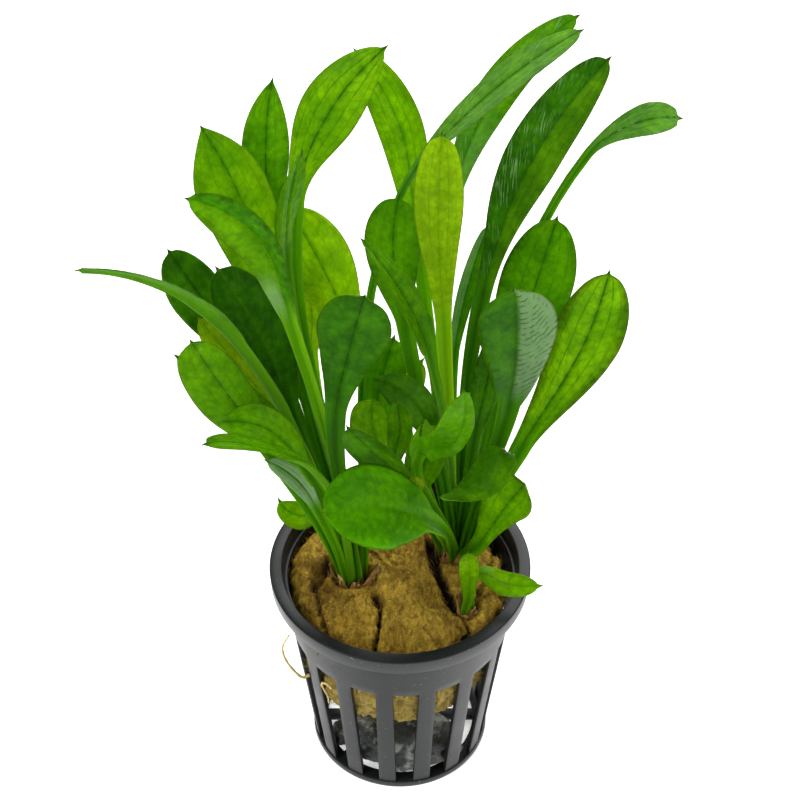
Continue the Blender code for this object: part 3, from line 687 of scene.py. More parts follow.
def make_leaf(one, root, finish, sizes, seed):
    """A leaf: stalk, blade and point as one skin wrapped round its midrib."""
    stations = stations_along(one, root, sizes)
    shape = wrapped_grid(LEAF_AROUND, len(stations) - 1)
    layers = shape.verts.layers.float_vector
    lamina, growth, habit, marks = [layers.new(name) for name in ("lamina", "growth", "habit", "marks")]
    surface = SURFACES.get(one.name, Surface())
    for corner in shape.verts:
        ring = stations[round(corner.co.y * (len(stations) - 1))]
        place, offset, across, under = section_point(one, surface, ring, corner.co.x, sizes, seed)
        edge = smooth(0.93, 1.0, abs(across))
        # Painted silver sheen, standing in for light reflected off the upper face: how much of each half
        # turns silver
        painted_sheen = (surface.bloom_left if across < 0 else surface.bloom_right) * (1 - under)
        painted_sheen *= 1 - smooth(surface.bloom_end - 0.25, surface.bloom_end, ring.share)
        painted_sheen *= smooth(0.02, 0.15, abs(across))
        # Painted light on the right half, painted shade where it is below 0, added to the leaf's own shift
        shift = surface.shift + surface.right * smooth(-0.02, 0.06, across)
        # Painted highlights: where wet wrinkles glint, on one half only when side is set
        wet = 1.0 if surface.side == 0 else smooth(-0.1, 0.25, surface.side * across)
        corner[lamina] = (offset, ring.distance, across)
        corner[growth] = (ring.share, under * (1 - edge) + 0.5 * edge, painted_sheen)
        corner[habit] = (surface.veins, surface.streaks * wet * (1 - under), shift)
        corner[marks] = (surface.border, surface.rib, surface.furrows * smooth(0.0, 0.1, across))
        corner.co = place
    close_up(shape)
    return add_piece(one.name + "_skin", shape, [finish], [one.name])


def leaf_veins(add, lamina, share, veins, furrows, vein_pitch):
    """Strength of the midrib and of the finer lines, how far each place puffs up between them, and
    its distance from the midrib, in millimetres and as a share of the half width."""
    x, y, across = add("axes", lamina)
    off = add("absolute", x)
    reach = add("absolute", across)
    wobble = add("noise", lamina, 1 / 3.333, 3.0)
    stray = add("multiply", add("subtract", wobble, 0.5), 1.4)
    fade = add("step", add("noise", lamina, 1 / 1.818, 2.0), 0.35, 0.6)

    # The midrib: a thin dark line, broken here and there, in a soft dark band
    broken = add("step", fade, 0.0, 1.0, 0.5, 1.0)
    line = add("multiply", add("step", off, 0.1, 0.26, 1.0, 0.0), broken)
    soft = add("add", off, add("multiply", stray, 0.5))
    band = add("multiply", add("step", soft, 0.15, 1.0, 0.42, 0.0), broken)
    midrib_line = add("maximum", line, band)

    # Two side veins to each half, which follow the margin
    begun = add("step", share, 0.05, 0.4, 0.25, 1.0)
    drawn = 0.0
    for lies_at, strength in ((0.42, 0.7), (0.74, 0.5)):
        ratio = add("divide", lies_at, add("add", reach, 0.02))
        away = add("multiply", off, add("subtract", ratio, 1.0))
        away = add("add", away, add("multiply", stray, 0.4))
        side = add("step", add("absolute", away), 0.03, 0.2, strength, 0.0)
        drawn = add("maximum", drawn, add("multiply", side, broken, begun, veins))

    # Cross veins climb from the midrib to the margin and join in a net of long cells
    climb = add("add", add("multiply", off, -0.75), y, stray)
    around = add("add", add("multiply", x, 0.42), add("multiply", stray, 0.3))
    flat = add("vector", around, add("divide", climb, vein_pitch / MM), 0.0)
    net = add("cells", flat, 1.0, 0.85)
    coarse = add("multiply", add("step", net, 0.005, 0.08, 0.36, 0.0), fade)
    fine = add("step", add("cells", flat, 3.1, 1.0), 0.0, 0.16, 0.07, 0.0)
    lines = add("multiply", add("add", coarse, fine), veins)
    drawn = add("maximum", drawn, lines)

    # Furrows: bowed lines 1.5 mm apart that run up from the midrib
    bowed = add("multiply", off, add("step", reach, 0.0, 1.0, -0.2, -1.1))
    count = add("divide", add("add", y, bowed, stray, stray), 1.5)
    furrow = add("step", add("pingpong", count, 0.5), 0.02, 0.18, 0.7, 0.0)
    furrow = add("multiply", furrow, add("step", fade, 0.0, 1.0, 0.1, 1.0), furrows)
    drawn = add("maximum", drawn, furrow)
    return midrib_line, drawn, add("step", net, 0.05, 0.3), off, reach


def leaf_material(tone_name, vein_pitch):
    """Living wet leaf: thin, so light comes through it, with darker veins, soft gloss, a painted silver
    sheen and painted highlights.
    """
    tone = TONES[tone_name]
    made, add = blank_material("wet_leaf_" + tone_name)
    lamina, growth, habit, marks = [
        add("painted", attribute_name=name) for name in ("lamina", "growth", "habit", "marks")
    ]
    share, under, painted_sheen = add("axes", growth)
    veins, streaks, shift = add("axes", habit)
    border, rib, furrows = add("axes", marks)
    place = add("place")
    blade = add("step", share, -0.02, 0.2)
    midrib_line, drawn, puffed, off, reach = leaf_veins(add, lamina, share, veins, furrows, vein_pitch)
    drawn = add("multiply", drawn, blade)
    rib = add("multiply", midrib_line, rib, add("step", share, -0.05, 0.1))

    # Blade: patches of two greens about 7 mm across, mottled at 1.4 mm, with painted shade along its border
    patch = add("step", add("noise", place, per(6.667), 3.0, 0.6), 0.36, 0.64)
    green = add("mix", patch, tone.blade, tone.shade)
    mottle = add("step", add("noise", place, per(1.4286), 4.0, 0.7), 0.3, 0.7, 0.84, 1.16)
    # Painted light: each vein cell a little lighter in its middle
    light = add("multiply", mottle, add("step", puffed, 0.0, 1.0, 0.96, 1.04))
    light = add("add", light, add("multiply", shift, 0.6))
    uneven = add("multiply", add("noise", place, per(3.846), 2.0), 0.3)
    # Painted shade along the border (painted light where its strength is below 0)
    near_margin = add("step", add("add", reach, uneven), 0.7, 1.1, 0.0, 0.7)
    light = add("subtract", light, add("multiply", near_margin, border))
    warmth = add("multiply", light, add("step", shift, -1.2, 1.2, 0.45, 1.75))
    shaded = add("stretch", green, add("vector", warmth, light, light))
    veined = add("mix", drawn, shaded, tone.vein)
    veined = add("mix", add("maximum", rib, 0.0), veined, tone.vein)
    pale_rib = add("maximum", add("multiply", rib, -1.0), 0.0)
    veined = add("mix", pale_rib, veined, tone.under)

    # Stalk: broad soft streaks along it, dark in the middle, a pale painted highlight along its edges,
    # brown at its foot
    drawn_out = add("stretch", lamina, (1.1, 0.03, 0.0))
    streak = add("step", add("noise", drawn_out, 1.0, 1.5), 0.32, 0.68)
    stalk = add("mix", streak, tone.stalk, tone.blade)
    stalk = add("mix", add("step", reach, 0.05, 0.5, 0.6, 0.0), stalk, tone.vein)
    # Painted highlight along the stalk's edges
    stalk = add("mix", add("step", reach, 0.7, 0.95, 0.0, 0.8), stalk, tone.under)
    stalk = add("mix", add("step", share, -1.0, -0.93, 0.7, 0.0), stalk, "6B5A20")
    whole = add("mix", blade, stalk, veined)
    sided = add("mix", add("multiply", under, 0.5), whole, tone.under)

    # Painted silver sheen between the veins, and painted highlights: thin bright streaks where wet wrinkles
    # catch the light
    # Painted reflection: silver sheen mixed into the colour between the veins
    painted_sheen_mask = add("multiply", painted_sheen, blade, add("step", drawn, 0.0, 0.5, 1.0, 0.3))
    sheen_painted = add("mix", painted_sheen_mask, sided, "9DB793")
    length = add("axes", lamina)[1]
    aside = add("subtract", off, add("multiply", length, 0.4))
    along = add("add", length, add("multiply", off, 0.4))
    lines = add("vector", add("multiply", aside, 3.4), add("multiply", along, 0.22), 0.0)
    # Painted highlights: thin bright streaks in patches, mixed into the colour
    glint = add("step", add("noise", lines, 1.0, 3.0), 0.5, 0.64)
    where = add("step", add("noise", place, per(5.882), 2.0), 0.38, 0.6)
    glint = add("multiply", glint, where, streaks, blade)
    streaked = add("mix", add("multiply", glint, 0.5), sheen_painted, "8DBF6A")

    # Thin reddish margin and brown point
    rim = add("multiply", add("step", reach, 0.95, 1.0, 0.0, 0.5), blade)
    edged = add("mix", rim, streaked, "5A6410")
    colour = add("mix", add("step", share, 0.975, 0.995, 0.0, 0.7), edged, "4A3F12")

    # Relief: the blade puffs up between its veins, about 0.1 mm, and is crinkled at 0.9 mm
    height = add("add", add("multiply", drawn, -0.8), add("multiply", puffed, 0.3))
    crinkle = add("multiply", add("noise", lamina, 1 / 0.909, 3.0), 0.9)
    bumped = add("bump", add("add", height, crinkle, glint), 0.7, 0.14 * MM)
    rough = add("step", under, 0.0, 1.0, 0.3, 0.5)
    gloss = add("step", add("maximum", glint, painted_sheen_mask), 0.0, 1.0, 0.05, 0.4)
    skin = add("skin", colour, rough, bumped, gloss, 1.4)
    lit = add("glow", add("tint", 1.0, colour, (1.75, 1.6, 0.35, 1.0)), bumped)
    return finished(made, add("layers", tone.glow, skin, lit))


def pot_plastic(sizes):
    """Injection-moulded polypropylene, dark grey: satin, dusty, with painted shade that makes it near black
    on its rim and inside.
    """
    made, add = blank_material("moulded_polypropylene")
    place = add("place")
    height = add("axes", place)[2]
    radius = add("length", add("stretch", place, (1.0, 1.0, 0.0)))
    # Painted shade: near black on the inner face of the wall and on the rim's top
    widening = add("multiply", height, POT_TAPER)
    middle = add("add", sizes.foot_radius - 0.55 * sizes.wall, widening)
    within = add("step", add("subtract", middle, radius), -0.3 * MM, 0.2 * MM)
    on_top = add("step", height, sizes.height - 0.7 * MM, sizes.height - 0.1 * MM)
    shadow = add("maximum", within, on_top)
    cloud = add("noise", place, per(11.111), 4.0)
    grey = add("mix", cloud, "202223", "2C2E2F")
    specks = add("slope", add("noise", place, per(0.66667), 1.0), 0.71, 0.79)
    dusty = add("mix", add("multiply", specks, 0.5), grey, "8E908C")
    colour = add("mix", add("multiply", shadow, 0.6), dusty, "0B0C0D")
    bumped = add("bump", add("noise", place, per(0.4), 2.0), 0.25, 0.03 * MM)
    rough = add("slope", cloud, 0.3, 0.7, 0.3, 0.42)
    gloss = add("step", shadow, 0.0, 1.0, 0.38, 0.17)
    return finished(made, add("skin", colour, rough, bumped, gloss, 1.49))


def wool_material(name, pale, main, dark):
    """Rock wool: spun mineral fibre stained ochre by peat, dull, browner in patches, near black with
    painted shade in its hollows.
    """
    made, add = blank_material(name)
    place = add("place")
    swirl = add("scale", add("eddies", place, per(3.84615), 2.0), 3.5 * MM)
    combed = add("stretch", add("move", place, swirl), (1.0, 0.35, 0.5))
    strands = add("noise", combed, per(0.76923), 5.0, 0.7)
    broad = add("step", add("noise", place, per(7.6923), 5.0, 0.65), 0.36, 0.66)
    ground = add("mix", broad, main, pale)
    speckled = add("mix", add("step", strands, 0.36, 0.6, 0.6, 0.0), ground, dark)
    bits = add("step", add("noise", place, per(0.384615), 2.0), 0.58, 0.7, 0.0, 0.5)
    flecked = add("mix", bits, speckled, "D8BE6A")
    peat = add("step", add("noise", place, per(11.7647), 4.0, 0.65), 0.48, 0.66, 0.0, 0.65)
    peaty = add("mix", peat, flecked, "4F350E")
    # Paler low down, below 34 to 41 mm
    low = add("step", add("axes", place)[2], 34 * MM, 41 * MM, 0.55, 0.0)
    paler_low = add("mix", low, peaty, "A3965A")
    # Painted shade in the block's cracks, pits and torn ledges; on loose fibres a random darker tone
    hollow = add("painted level", attribute_name="hollow")
    colour = add("mix", hollow, paler_low, "221405")
    return finished(made, add("skin", colour, 0.93, add("bump", strands, 1.0, 0.5 * MM), 0.15))


def crown_material():
    """Old stalk bases: fleshy and dull, streaked tan and brown, with rusty patches."""
    made, add = blank_material("fleshy_stem_base")
    place = add("place")
    streak = add("noise", add("stretch", place, (1.0, 1.0, 0.2)), per(1.1111), 3.0)
    brown = add("mix", streak, "6A4A1C", "C49E54")
    rust = add("slope", add("noise", place, per(3.846), 2.0), 0.5, 0.65, 0.0, 0.5)
    colour = add("mix", rust, brown, "8A4E2C")
    return finished(made, add("skin", colour, 0.62, add("bump", streak, 0.8, 0.3 * MM)))


def stone_material():
    """Dark lava stone, wet grey with pale grey blotches and a rusty spot or two."""
    made, add = blank_material("dark_lava_stone")
    place = add("place")
    blotch = add("noise", place, per(5.2632), 6.0, 0.65)
    grain = add("noise", place, per(0.90909), 4.0)
    base = add("mix", grain, "141716", "4A504C")
    blotched = add("mix", add("slope", blotch, 0.53, 0.66, 0.0, 0.85), base, "B0B6AE")
    colour = add("mix", add("slope", blotch, 0.36, 0.30, 0.0, 0.8), blotched, "7A5A22")
    return finished(made, add("skin", colour, 0.6, add("bump", grain, 0.9, 0.4 * MM)))


def root_material():
    """Fresh water root: smooth, tan, slightly waxy."""
    made, add = blank_material("fresh_root")
    patch = add("noise", add("place"), per(3.333), 2.0)
    return finished(made, add("skin", add("mix", patch, "A88434", "DCC478"), 0.45))


def floor_material(colour, glow):
    """White table of opal acrylic, lit a little from below."""
    made, add = blank_material("opal_acrylic_table")
    lit = {"Specular IOR Level": 0.1, "Emission Color": "FFFFFF", "Emission Strength": glow}
    return finished(made, add("skin", (*colour, 1.0), 0.9, links=lit))


CAMERA_SENSOR = 36.0
CAMERA_LENS = 81.0
CAMERA_PLACE = (0.0, -0.259, 0.331)
CAMERA_TILT = 48.0
FLOOR_SIZE = 4.0
LIT_POINT = (0.0, 0.0, 0.08)


class PLANT_OT_stage(bpy.types.Operator):
    """Sets up the camera, the pale floor and the soft studio light"""

    bl_idname = "sword_plant.stage"
    bl_label = "Stage"

    def execute(self, context):
        scene = context.scene
        sizes = scene.sword_plant.stage
        camera = bpy.data.objects.new("camera", bpy.data.cameras.new("camera"))
        camera.data.sensor_width = CAMERA_SENSOR
        camera.data.lens = CAMERA_LENS
        camera.data.clip_start = 0.01
        camera.location = CAMERA_PLACE
        camera.rotation_euler = (math.radians(CAMERA_TILT), 0.0, 0.0)
        scene.collection.objects.link(camera)
        scene.camera = camera
        shape = bmesh.new()
        bmesh.ops.create_grid(shape, x_segments=1, y_segments=1, size=FLOOR_SIZE)
        mesh = bpy.data.meshes.new("floor")
        shape.to_mesh(mesh)
        shape.free()
        mesh.materials.append(floor_material(sizes.floor_colour, sizes.floor_glow))
        floor = bpy.data.objects.new("floor", mesh)
        scene.collection.objects.link(floor)
        world = bpy.data.worlds.new("white_surround")
        world.use_nodes = True
        tree = world.node_tree
        back = tree.nodes["Background"]
        add = partial(add_node, tree)
        shade = add("step", add("axes", add("skyward"))[2], 0.05, 0.75, 1.0, 0.3)
        tree.links.new(add("mix", shade, "000000", "FFFFFF"), back.inputs["Color"])
        back.inputs["Strength"].default_value = sizes.sky
        scene.world = world
        scene.view_settings.view_transform = "Standard"
        aim = Vector(LIT_POINT)
        for name, place, size, power in (
            ("key_light", (-0.45, -0.35, 0.75), 0.5, sizes.key_power),
            ("back_light", (0.15, 0.55, 0.6), 0.6, sizes.back_power),
            ("fill_light", (0.55, -0.3, 0.45), 0.5, 0.4 * sizes.key_power),
        ):
            lamp = bpy.data.objects.new(name, bpy.data.lights.new(name, "AREA"))
            lamp.data.size = size
            lamp.data.energy = power
            lamp.location = place
            lamp.rotation_euler = (aim - Vector(place)).to_track_quat("-Z", "Y").to_euler()
            scene.collection.objects.link(lamp)
        return {"FINISHED"}


def wall_radius(sizes, height):
    """Outer radius of the pot's wall at a height."""
    return sizes.foot_radius / MM + POT_TAPER * height


def turned_ring(profile, steps):
    """A closed profile in X and Z turned round Z."""
    shape = bmesh.new()
    corners = [shape.verts.new((x, 0.0, z)) for x, z in profile]
    edges = [shape.edges.new(pair) for pair in zip(corners, corners[1:] + corners[:1])]
    bmesh.ops.spin(
        shape, geom=corners + edges, axis=(0, 0, 1), cent=(0, 0, 0), steps=steps,
        angle=2 * math.pi, use_merge=True,
    )
    bmesh.ops.recalc_face_normals(shape, faces=shape.faces)
    return shape


def soften(shape, width, segments, least=math.radians(35)):
    """Rounds the edges of a bmesh that are sharper than least."""
    sharp = [edge for edge in shape.edges if len(edge.link_faces) == 2 and edge.calc_face_angle() > least]
    bmesh.ops.bevel(
        shape, geom=sharp, offset=width, segments=segments, profile=0.5, affect="EDGES", material=-1,
        clamp_overlap=True,
    )


def join_in(target, part):
    """Adds a bmesh to another and frees it."""
    mesh = bpy.data.meshes.new("part")
    part.to_mesh(mesh)
    part.free()
    target.from_mesh(mesh)
    bpy.data.meshes.remove(mesh)


COLUMNS_PER_SLOT = 12
SLOT_COLUMNS = 8
SLOT_INSET = (COLUMNS_PER_SLOT - SLOT_COLUMNS) / 2
SLOT_ROWS = 18
TOP_ROWS = 6
FOOT_LEVELS = [0.0, 0.5, SLOT_BOTTOM]
RIM_OVERLAP = 0.6
WALL_ROUNDING = 0.18
FLOOR_ROUNDING = 0.2
RIM_ROUNDING = 0.3
RIM_SKIRT = 1.0


def slotted_wall(sizes):
    """The tapered wall as one sheet round the pot, its slots left out, then given its thickness."""
    top = sizes.height / MM - sizes.rim_depth / MM
    columns = sizes.slots * COLUMNS_PER_SLOT
    levels = list(FOOT_LEVELS)
    for count, end in ((SLOT_ROWS, SLOT_TOP), (TOP_ROWS, top + RIM_OVERLAP)):
        start = levels[-1]
        levels += [start + (end - start) * step / count for step in range(1, count + 1)]
    rows = len(levels) - 1
    slot_foot = len(FOOT_LEVELS) - 1
    shape = wrapped_grid(columns, rows)
    for corner in shape.verts:
        corner.co = (round(corner.co.x * columns), round(corner.co.y * rows), 0)
    slots = []
    for face in shape.faces:
        middle = face.calc_center_median()
        across = middle.x % COLUMNS_PER_SLOT
        in_slot = SLOT_INSET < across < COLUMNS_PER_SLOT - SLOT_INSET
        if in_slot and slot_foot < middle.y < slot_foot + SLOT_ROWS:
            slots.append(face)
    bmesh.ops.delete(shape, geom=slots, context="FACES")
    pitch = 2 * math.pi / sizes.slots
    for corner in shape.verts:
        height = levels[round(corner.co.y)]
        radius = wall_radius(sizes, height) - sizes.wall / MM / 2
        rise = min(1, max(0, (height - SLOT_BOTTOM) / (SLOT_TOP - SLOT_BOTTOM)))
        width = SLOT_WIDTH_BOTTOM + (SLOT_WIDTH_TOP - SLOT_WIDTH_BOTTOM) * rise
        slot_share = width / radius / pitch
        cell, part = divmod(corner.co.x + 1e-6, COLUMNS_PER_SLOT)
        if part < SLOT_INSET:
            share = part / SLOT_INSET * (1 - slot_share) / 2
        elif part > COLUMNS_PER_SLOT - SLOT_INSET:
            share = 1 - (COLUMNS_PER_SLOT - part) / SLOT_INSET * (1 - slot_share) / 2
        else:
            share = (1 - slot_share) / 2 + (part - SLOT_INSET) / SLOT_COLUMNS * slot_share
        turn = math.radians(SLOT_TURN - 90) + pitch * (cell + share - 0.5)
        corner.co = (radius * math.cos(turn), radius * math.sin(turn), height)
    bmesh.ops.remove_doubles(shape, verts=shape.verts, dist=1e-3)
    bmesh.ops.recalc_face_normals(shape, faces=shape.faces)
    bmesh.ops.solidify(shape, geom=shape.faces, thickness=sizes.wall / MM)
    bmesh.ops.recalc_face_normals(shape, faces=shape.faces)
    soften(shape, WALL_ROUNDING, 2, math.radians(50))
    return shape


def pot_floor(sizes):
    """The floor: a ring under the wall, a middle disc and the spokes between them."""
    shape = bmesh.new()
    inner, outer = FLOOR_RING_RADIUS, wall_radius(sizes, 0.0) - 0.02
    join_in(shape, turned_ring(((inner, 0), (outer, 0), (outer, POT_FLOOR), (inner, POT_FLOOR)), 128))
    disc = bmesh.new()
    bmesh.ops.create_cone(
        disc, cap_ends=True, segments=64, radius1=FLOOR_DISC_RADIUS, radius2=FLOOR_DISC_RADIUS,
        depth=POT_FLOOR, matrix=Matrix.Translation((0, 0, POT_FLOOR / 2)),
    )
    join_in(shape, disc)
    for index in range(FLOOR_WINDOWS):
        spoke = bmesh.new()
        bmesh.ops.create_cube(spoke, size=1.0)
        length = FLOOR_RING_RADIUS - FLOOR_DISC_RADIUS + 1.0
        bmesh.ops.scale(spoke, vec=(length, FLOOR_SPOKE_WIDTH, POT_FLOOR - 0.02), verts=spoke.verts)
        bmesh.ops.translate(
            spoke, vec=(FLOOR_DISC_RADIUS - 0.5 + length / 2, 0, POT_FLOOR / 2), verts=spoke.verts
        )
        turn = Matrix.Rotation(2 * math.pi * index / FLOOR_WINDOWS, 3, "Z")
        bmesh.ops.rotate(spoke, matrix=turn, verts=spoke.verts)
        join_in(shape, spoke)
    soften(shape, FLOOR_ROUNDING, 2)
    return shape


def pot_rim(sizes):
    """The rim: a flat lip that stands out past the wall, with a rounded edge."""
    high, under = sizes.height / MM, (sizes.height - sizes.rim_depth) / MM
    lip, mouth = sizes.rim_radius / MM, sizes.mouth_radius / MM
    wall = wall_radius(sizes, under)
    profile = (
        (wall - 0.95, under - RIM_SKIRT),
        (wall + 0.02, under - RIM_SKIRT),
        (wall + 0.05, under),
        (lip - 0.2, under),
        (lip, high),
        (mouth, high),
    )
    shape = turned_ring(profile, 192)
    soften(shape, RIM_ROUNDING, 3)
    return shape


class PLANT_OT_net_pot(bpy.types.Operator):
    """Models the slotted pot: wall, floor and rim"""

    bl_idname = "sword_plant.net_pot"
    bl_label = "Net Pot"

    def execute(self, context):
        sizes = context.scene.sword_plant.pot
        shape = bmesh.new()
        for part in (slotted_wall(sizes), pot_floor(sizes), pot_rim(sizes)):
            join_in(shape, part)
        piece = add_piece("net_pot_moulding", shape, [pot_plastic(sizes)], ["net_pot"])
        piece.data.set_sharp_from_angle(angle=math.radians(40))
        return {"FINISHED"}


PROFILE_STEPS = 720
WOOL_AROUND = 400
WOOL_ROWS = 220
PIT_DEPTH = 4.0


def wool_profile(sizes, rows):
    """Radius and height along the block's outline, evenly spaced from its top to its bottom."""
    half = (WOOL_TOP - WOOL_BOTTOM) / 2
    line = []
    for step in range(PROFILE_STEPS + 1):
        turn = math.pi * step / PROFILE_STEPS
        level = math.copysign(abs(math.cos(turn)) ** WOOL_SHOULDER, math.cos(turn))
        height = WOOL_BOTTOM + half * (level + 1)
        full = sizes.radius / MM - WOOL_TAPER * (WOOL_TOP - height)
        line.append((full * abs(math.sin(turn)) ** WOOL_ROUNDING, height))
    line[0], line[-1] = (0.0, WOOL_TOP), (0.0, WOOL_BOTTOM)
    run = [0.0]
    for (a, b), (c, d) in zip(line, line[1:]):
        run.append(run[-1] + math.hypot(c - a, d - b))
    outline = []
    for row in range(rows + 1):
        want = run[-1] * row / rows
        index = min(bisect.bisect_left(run, want), len(run) - 1)
        before = max(index - 1, 0)
        share = (want - run[before]) / max(run[index] - run[before], 1e-9)
        (a, b), (c, d) = line[before], line[index]
        outline.append((a + (c - a) * share, b + (d - b) * share))
    return outline


def crack_depth(place):
    """How deep the cracks are at a place of the wool's top; their edges are ragged."""
    ragged = Vector((noise.noise(place / 1.1), noise.noise(place / 1.1 + Vector((5, 0, 0))))) * 0.45
    here = place.xy + ragged
    deepest = 0.0
    for width, depth, line in WOOL_CRACKS:
        for a, b in zip(line, line[1:]):
            start, way = Vector(a), Vector(b) - Vector(a)
            share = min(1.0, max(0.0, (here - start).dot(way) / way.length_squared))
            away = (here - start - way * share).length
            deepest = max(deepest, depth * (1 - smooth(0.5 * width, 1.5 * width, away)))
    return deepest


def wool_push(place, lump):
    """How far the wool's skin stands out at a place, and how much painted shade it gets from lying deep in
    a crack, pit or torn ledge.
    """
    top = smooth(WOOL_TOP - 6.0, WOOL_TOP - 2.0, place.z)
    push = noise.noise(place / 9.0) * lump
    push += 0.5 * noise.noise(place / 3.6 + Vector((7, 3, 1)))
    layer = 1.8 * noise.noise(place / 5.5 + Vector((2, 9, 4))) + 0.22 * noise.noise(place / 0.9) + 5
    torn = smooth(0.75, 1.0, layer % 1.0) - layer % 1.0
    push += 0.75 * torn
    push += 0.4 * noise.noise(Vector((place.x / 0.8, place.y / 2.8, place.z / 2.8)))
    push += 0.14 * noise.noise(Vector((place.x / 0.3, place.y / 1.0, place.z / 1.0)))
    # Painted shade under torn ledges, and on the top also in the cracks and pits
    if top <= 0:
        return push, 0.35 * smooth(0.5, 0.85, -torn)
    lift = 0.0
    for x, y, wide, long, height in WOOL_MOUNDS:
        away = math.hypot((place.x - x) / wide, (place.y - y) / long)
        lift += height * math.exp(-(away**3))
    deep = crack_depth(place)
    for crown in CROWNS:
        away = math.hypot(place.x - crown.x, place.y - crown.y)
        foot = BUNDLE * crown.radius
        deep = max(deep, PIT_DEPTH * (1 - smooth(foot + 0.2, foot + 2.0, away)))
    push += top * (lift - deep)
    hollow = smooth(0.3, 2.2, top * deep) + 0.35 * smooth(0.5, 0.85, -torn)
    return push, min(1.0, hollow)


def wool_block(sizes):
    """The lumpy block: an outline wrapped round Z, pushed in and out along its own slope."""
    rows = WOOL_ROWS
    outline = wool_profile(sizes, rows)
    shape = wrapped_grid(WOOL_AROUND, rows)
    hollow = shape.verts.layers.float.new("hollow")
    for corner in shape.verts:
        row = round(corner.co.y * rows)
        radius, height = outline[row]
        before, after = outline[max(row - 1, 0)], outline[min(row + 1, rows)]
        slope = Vector((before[1] - after[1], after[0] - before[0])).normalized()
        turn = 2 * math.pi * corner.co.x
        away = Vector((math.cos(turn), math.sin(turn), 0.0))
        place = away * radius + Vector((WOOL_OFF_CENTRE, 0.0, height))
        push, deep = wool_push(place, sizes.lump / MM)
        outward = (away * slope.x + Vector((0, 0, slope.y))).normalized()
        corner[hollow] = deep
        corner.co = place + outward * push
    close_up(shape)
    return shape


FIBRE_SIDES = 3
FIBRE_RINGS = 4
FIBRE_RADIUS = 0.04
FIBRE_LOWEST = 24.0
FIBRE_SEED = 7


def scatter_fibres(block, sizes):
    """Loose fibres on the wool's skin: one sheet rolled into tubes, cut apart and laid down."""
    chance = random.Random(FIBRE_SEED)
    depth = block.verts.layers.float["hollow"]
    faces = [face for face in block.faces if face.calc_center_median().z > FIBRE_LOWEST]
    weights = [face.calc_area() * max(0.0, 1 - 2.2 * face.verts[0][depth]) for face in faces]
    beds = []
    for face in chance.choices(faces, weights, k=sizes.fibres):
        outward = face.normal.normalized()
        heading = Vector((chance.gauss(0, 0.7), 1.0, chance.gauss(0, 0.7))) * chance.choice((-1, 1))
        heading -= outward * heading.dot(outward)
        along = (heading.normalized() + outward * chance.gauss(0.04, 0.09)).normalized()
        side = outward.cross(along).normalized()
        length = sizes.fibre_length / MM * chance.uniform(0.5, 1.5)
        bow = along.cross(side) * length * chance.gauss(-0.05, 0.1)
        curl = side * length * chance.gauss(0.0, 0.15)
        foot = face.calc_center_median() - outward * 0.03
        beds.append((foot, along * length, side, along.cross(side), bow + curl, chance.uniform(0, 0.35)))
    rows = sizes.fibres * FIBRE_RINGS - 1
    shape = wrapped_grid(FIBRE_SIDES, rows)
    gaps = [
        face
        for face in shape.faces
        if int(face.calc_center_median().y * rows) % FIBRE_RINGS == FIBRE_RINGS - 1
    ]
    bmesh.ops.delete(shape, geom=gaps, context="FACES")
    hollow = shape.verts.layers.float.new("hollow")
    for corner in shape.verts:
        index, ring = divmod(round(corner.co.y * rows), FIBRE_RINGS)
        foot, reach, side, over, bend, shade = beds[index]
        share = ring / (FIBRE_RINGS - 1)
        turn = 2 * math.pi * corner.co.x
        radius = FIBRE_RADIUS * min(1.0, 9 * share * (1 - share))
        ring_point = (side * math.cos(turn) + over * math.sin(turn)) * radius
        corner[hollow] = shade
        corner.co = foot + reach * share + bend * (4 * share * (1 - share)) + ring_point
    bmesh.ops.remove_doubles(shape, verts=shape.verts, dist=1e-4)
    bmesh.ops.recalc_face_normals(shape, faces=shape.faces)
    return shape


class PLANT_OT_rock_wool(bpy.types.Operator):
    """Models the block of rock wool and the loose fibres on it"""

    bl_idname = "sword_plant.rock_wool"
    bl_label = "Rock Wool"

    def execute(self, context):
        sizes = context.scene.sword_plant.wool
        block = wool_block(sizes)
        fibres = scatter_fibres(block, sizes)
        ochre = wool_material("stained_rock_wool", "BC9A34", "92711D", "43300C")
        pale = wool_material("loose_rock_wool_fibre", "BFA448", "98782A", "6A4C14")
        add_piece("rock_wool_block", block, [ochre], ["rock_wool"])
        add_piece("rock_wool_fibres", fibres, [pale])
        return {"FINISHED"}


CROWN_SINK = 1.6
CROWN_RIDGES = 9
TUFT_SINK = 2.2
TUFT_HALF_THICKNESS = 0.22


def crown_body(crown, seed):
    """A crown: a short fleshy stem with the ridges of old stalk bases round it."""
    shape = bmesh.new()
    wide = BUNDLE * crown.radius + 0.6
    middle = CROWN_TOP - CROWN_SINK - CROWN_DEPTH / 2
    bmesh.ops.create_cone(
        shape, cap_ends=True, segments=60, radius1=0.7 * wide, radius2=wide,
        depth=CROWN_DEPTH, matrix=Matrix.Translation((crown.x, crown.y, middle)),
    )
    sides = [edge for edge in shape.edges if abs(edge.verts[0].co.z - edge.verts[1].co.z) > 1]
    bmesh.ops.subdivide_edges(shape, edges=sides, cuts=10)
    caps = [face for face in shape.faces if len(face.verts) > 4]
    bmesh.ops.inset_region(shape, faces=caps, thickness=0.4 * wide)
    centre = Vector((crown.x, crown.y, 0))
    for corner in shape.verts:
        flat = Vector((corner.co.x, corner.co.y, 0)) - centre
        turn = math.atan2(flat.y, flat.x)
        ridge = 0.2 * math.cos(CROWN_RIDGES * turn + seed) + 0.3 * noise.noise(corner.co / 1.5)
        corner.co += flat.normalized() * ridge if flat.length > 0.2 else Vector()
    bmesh.ops.recalc_face_normals(shape, faces=shape.faces)
    return shape


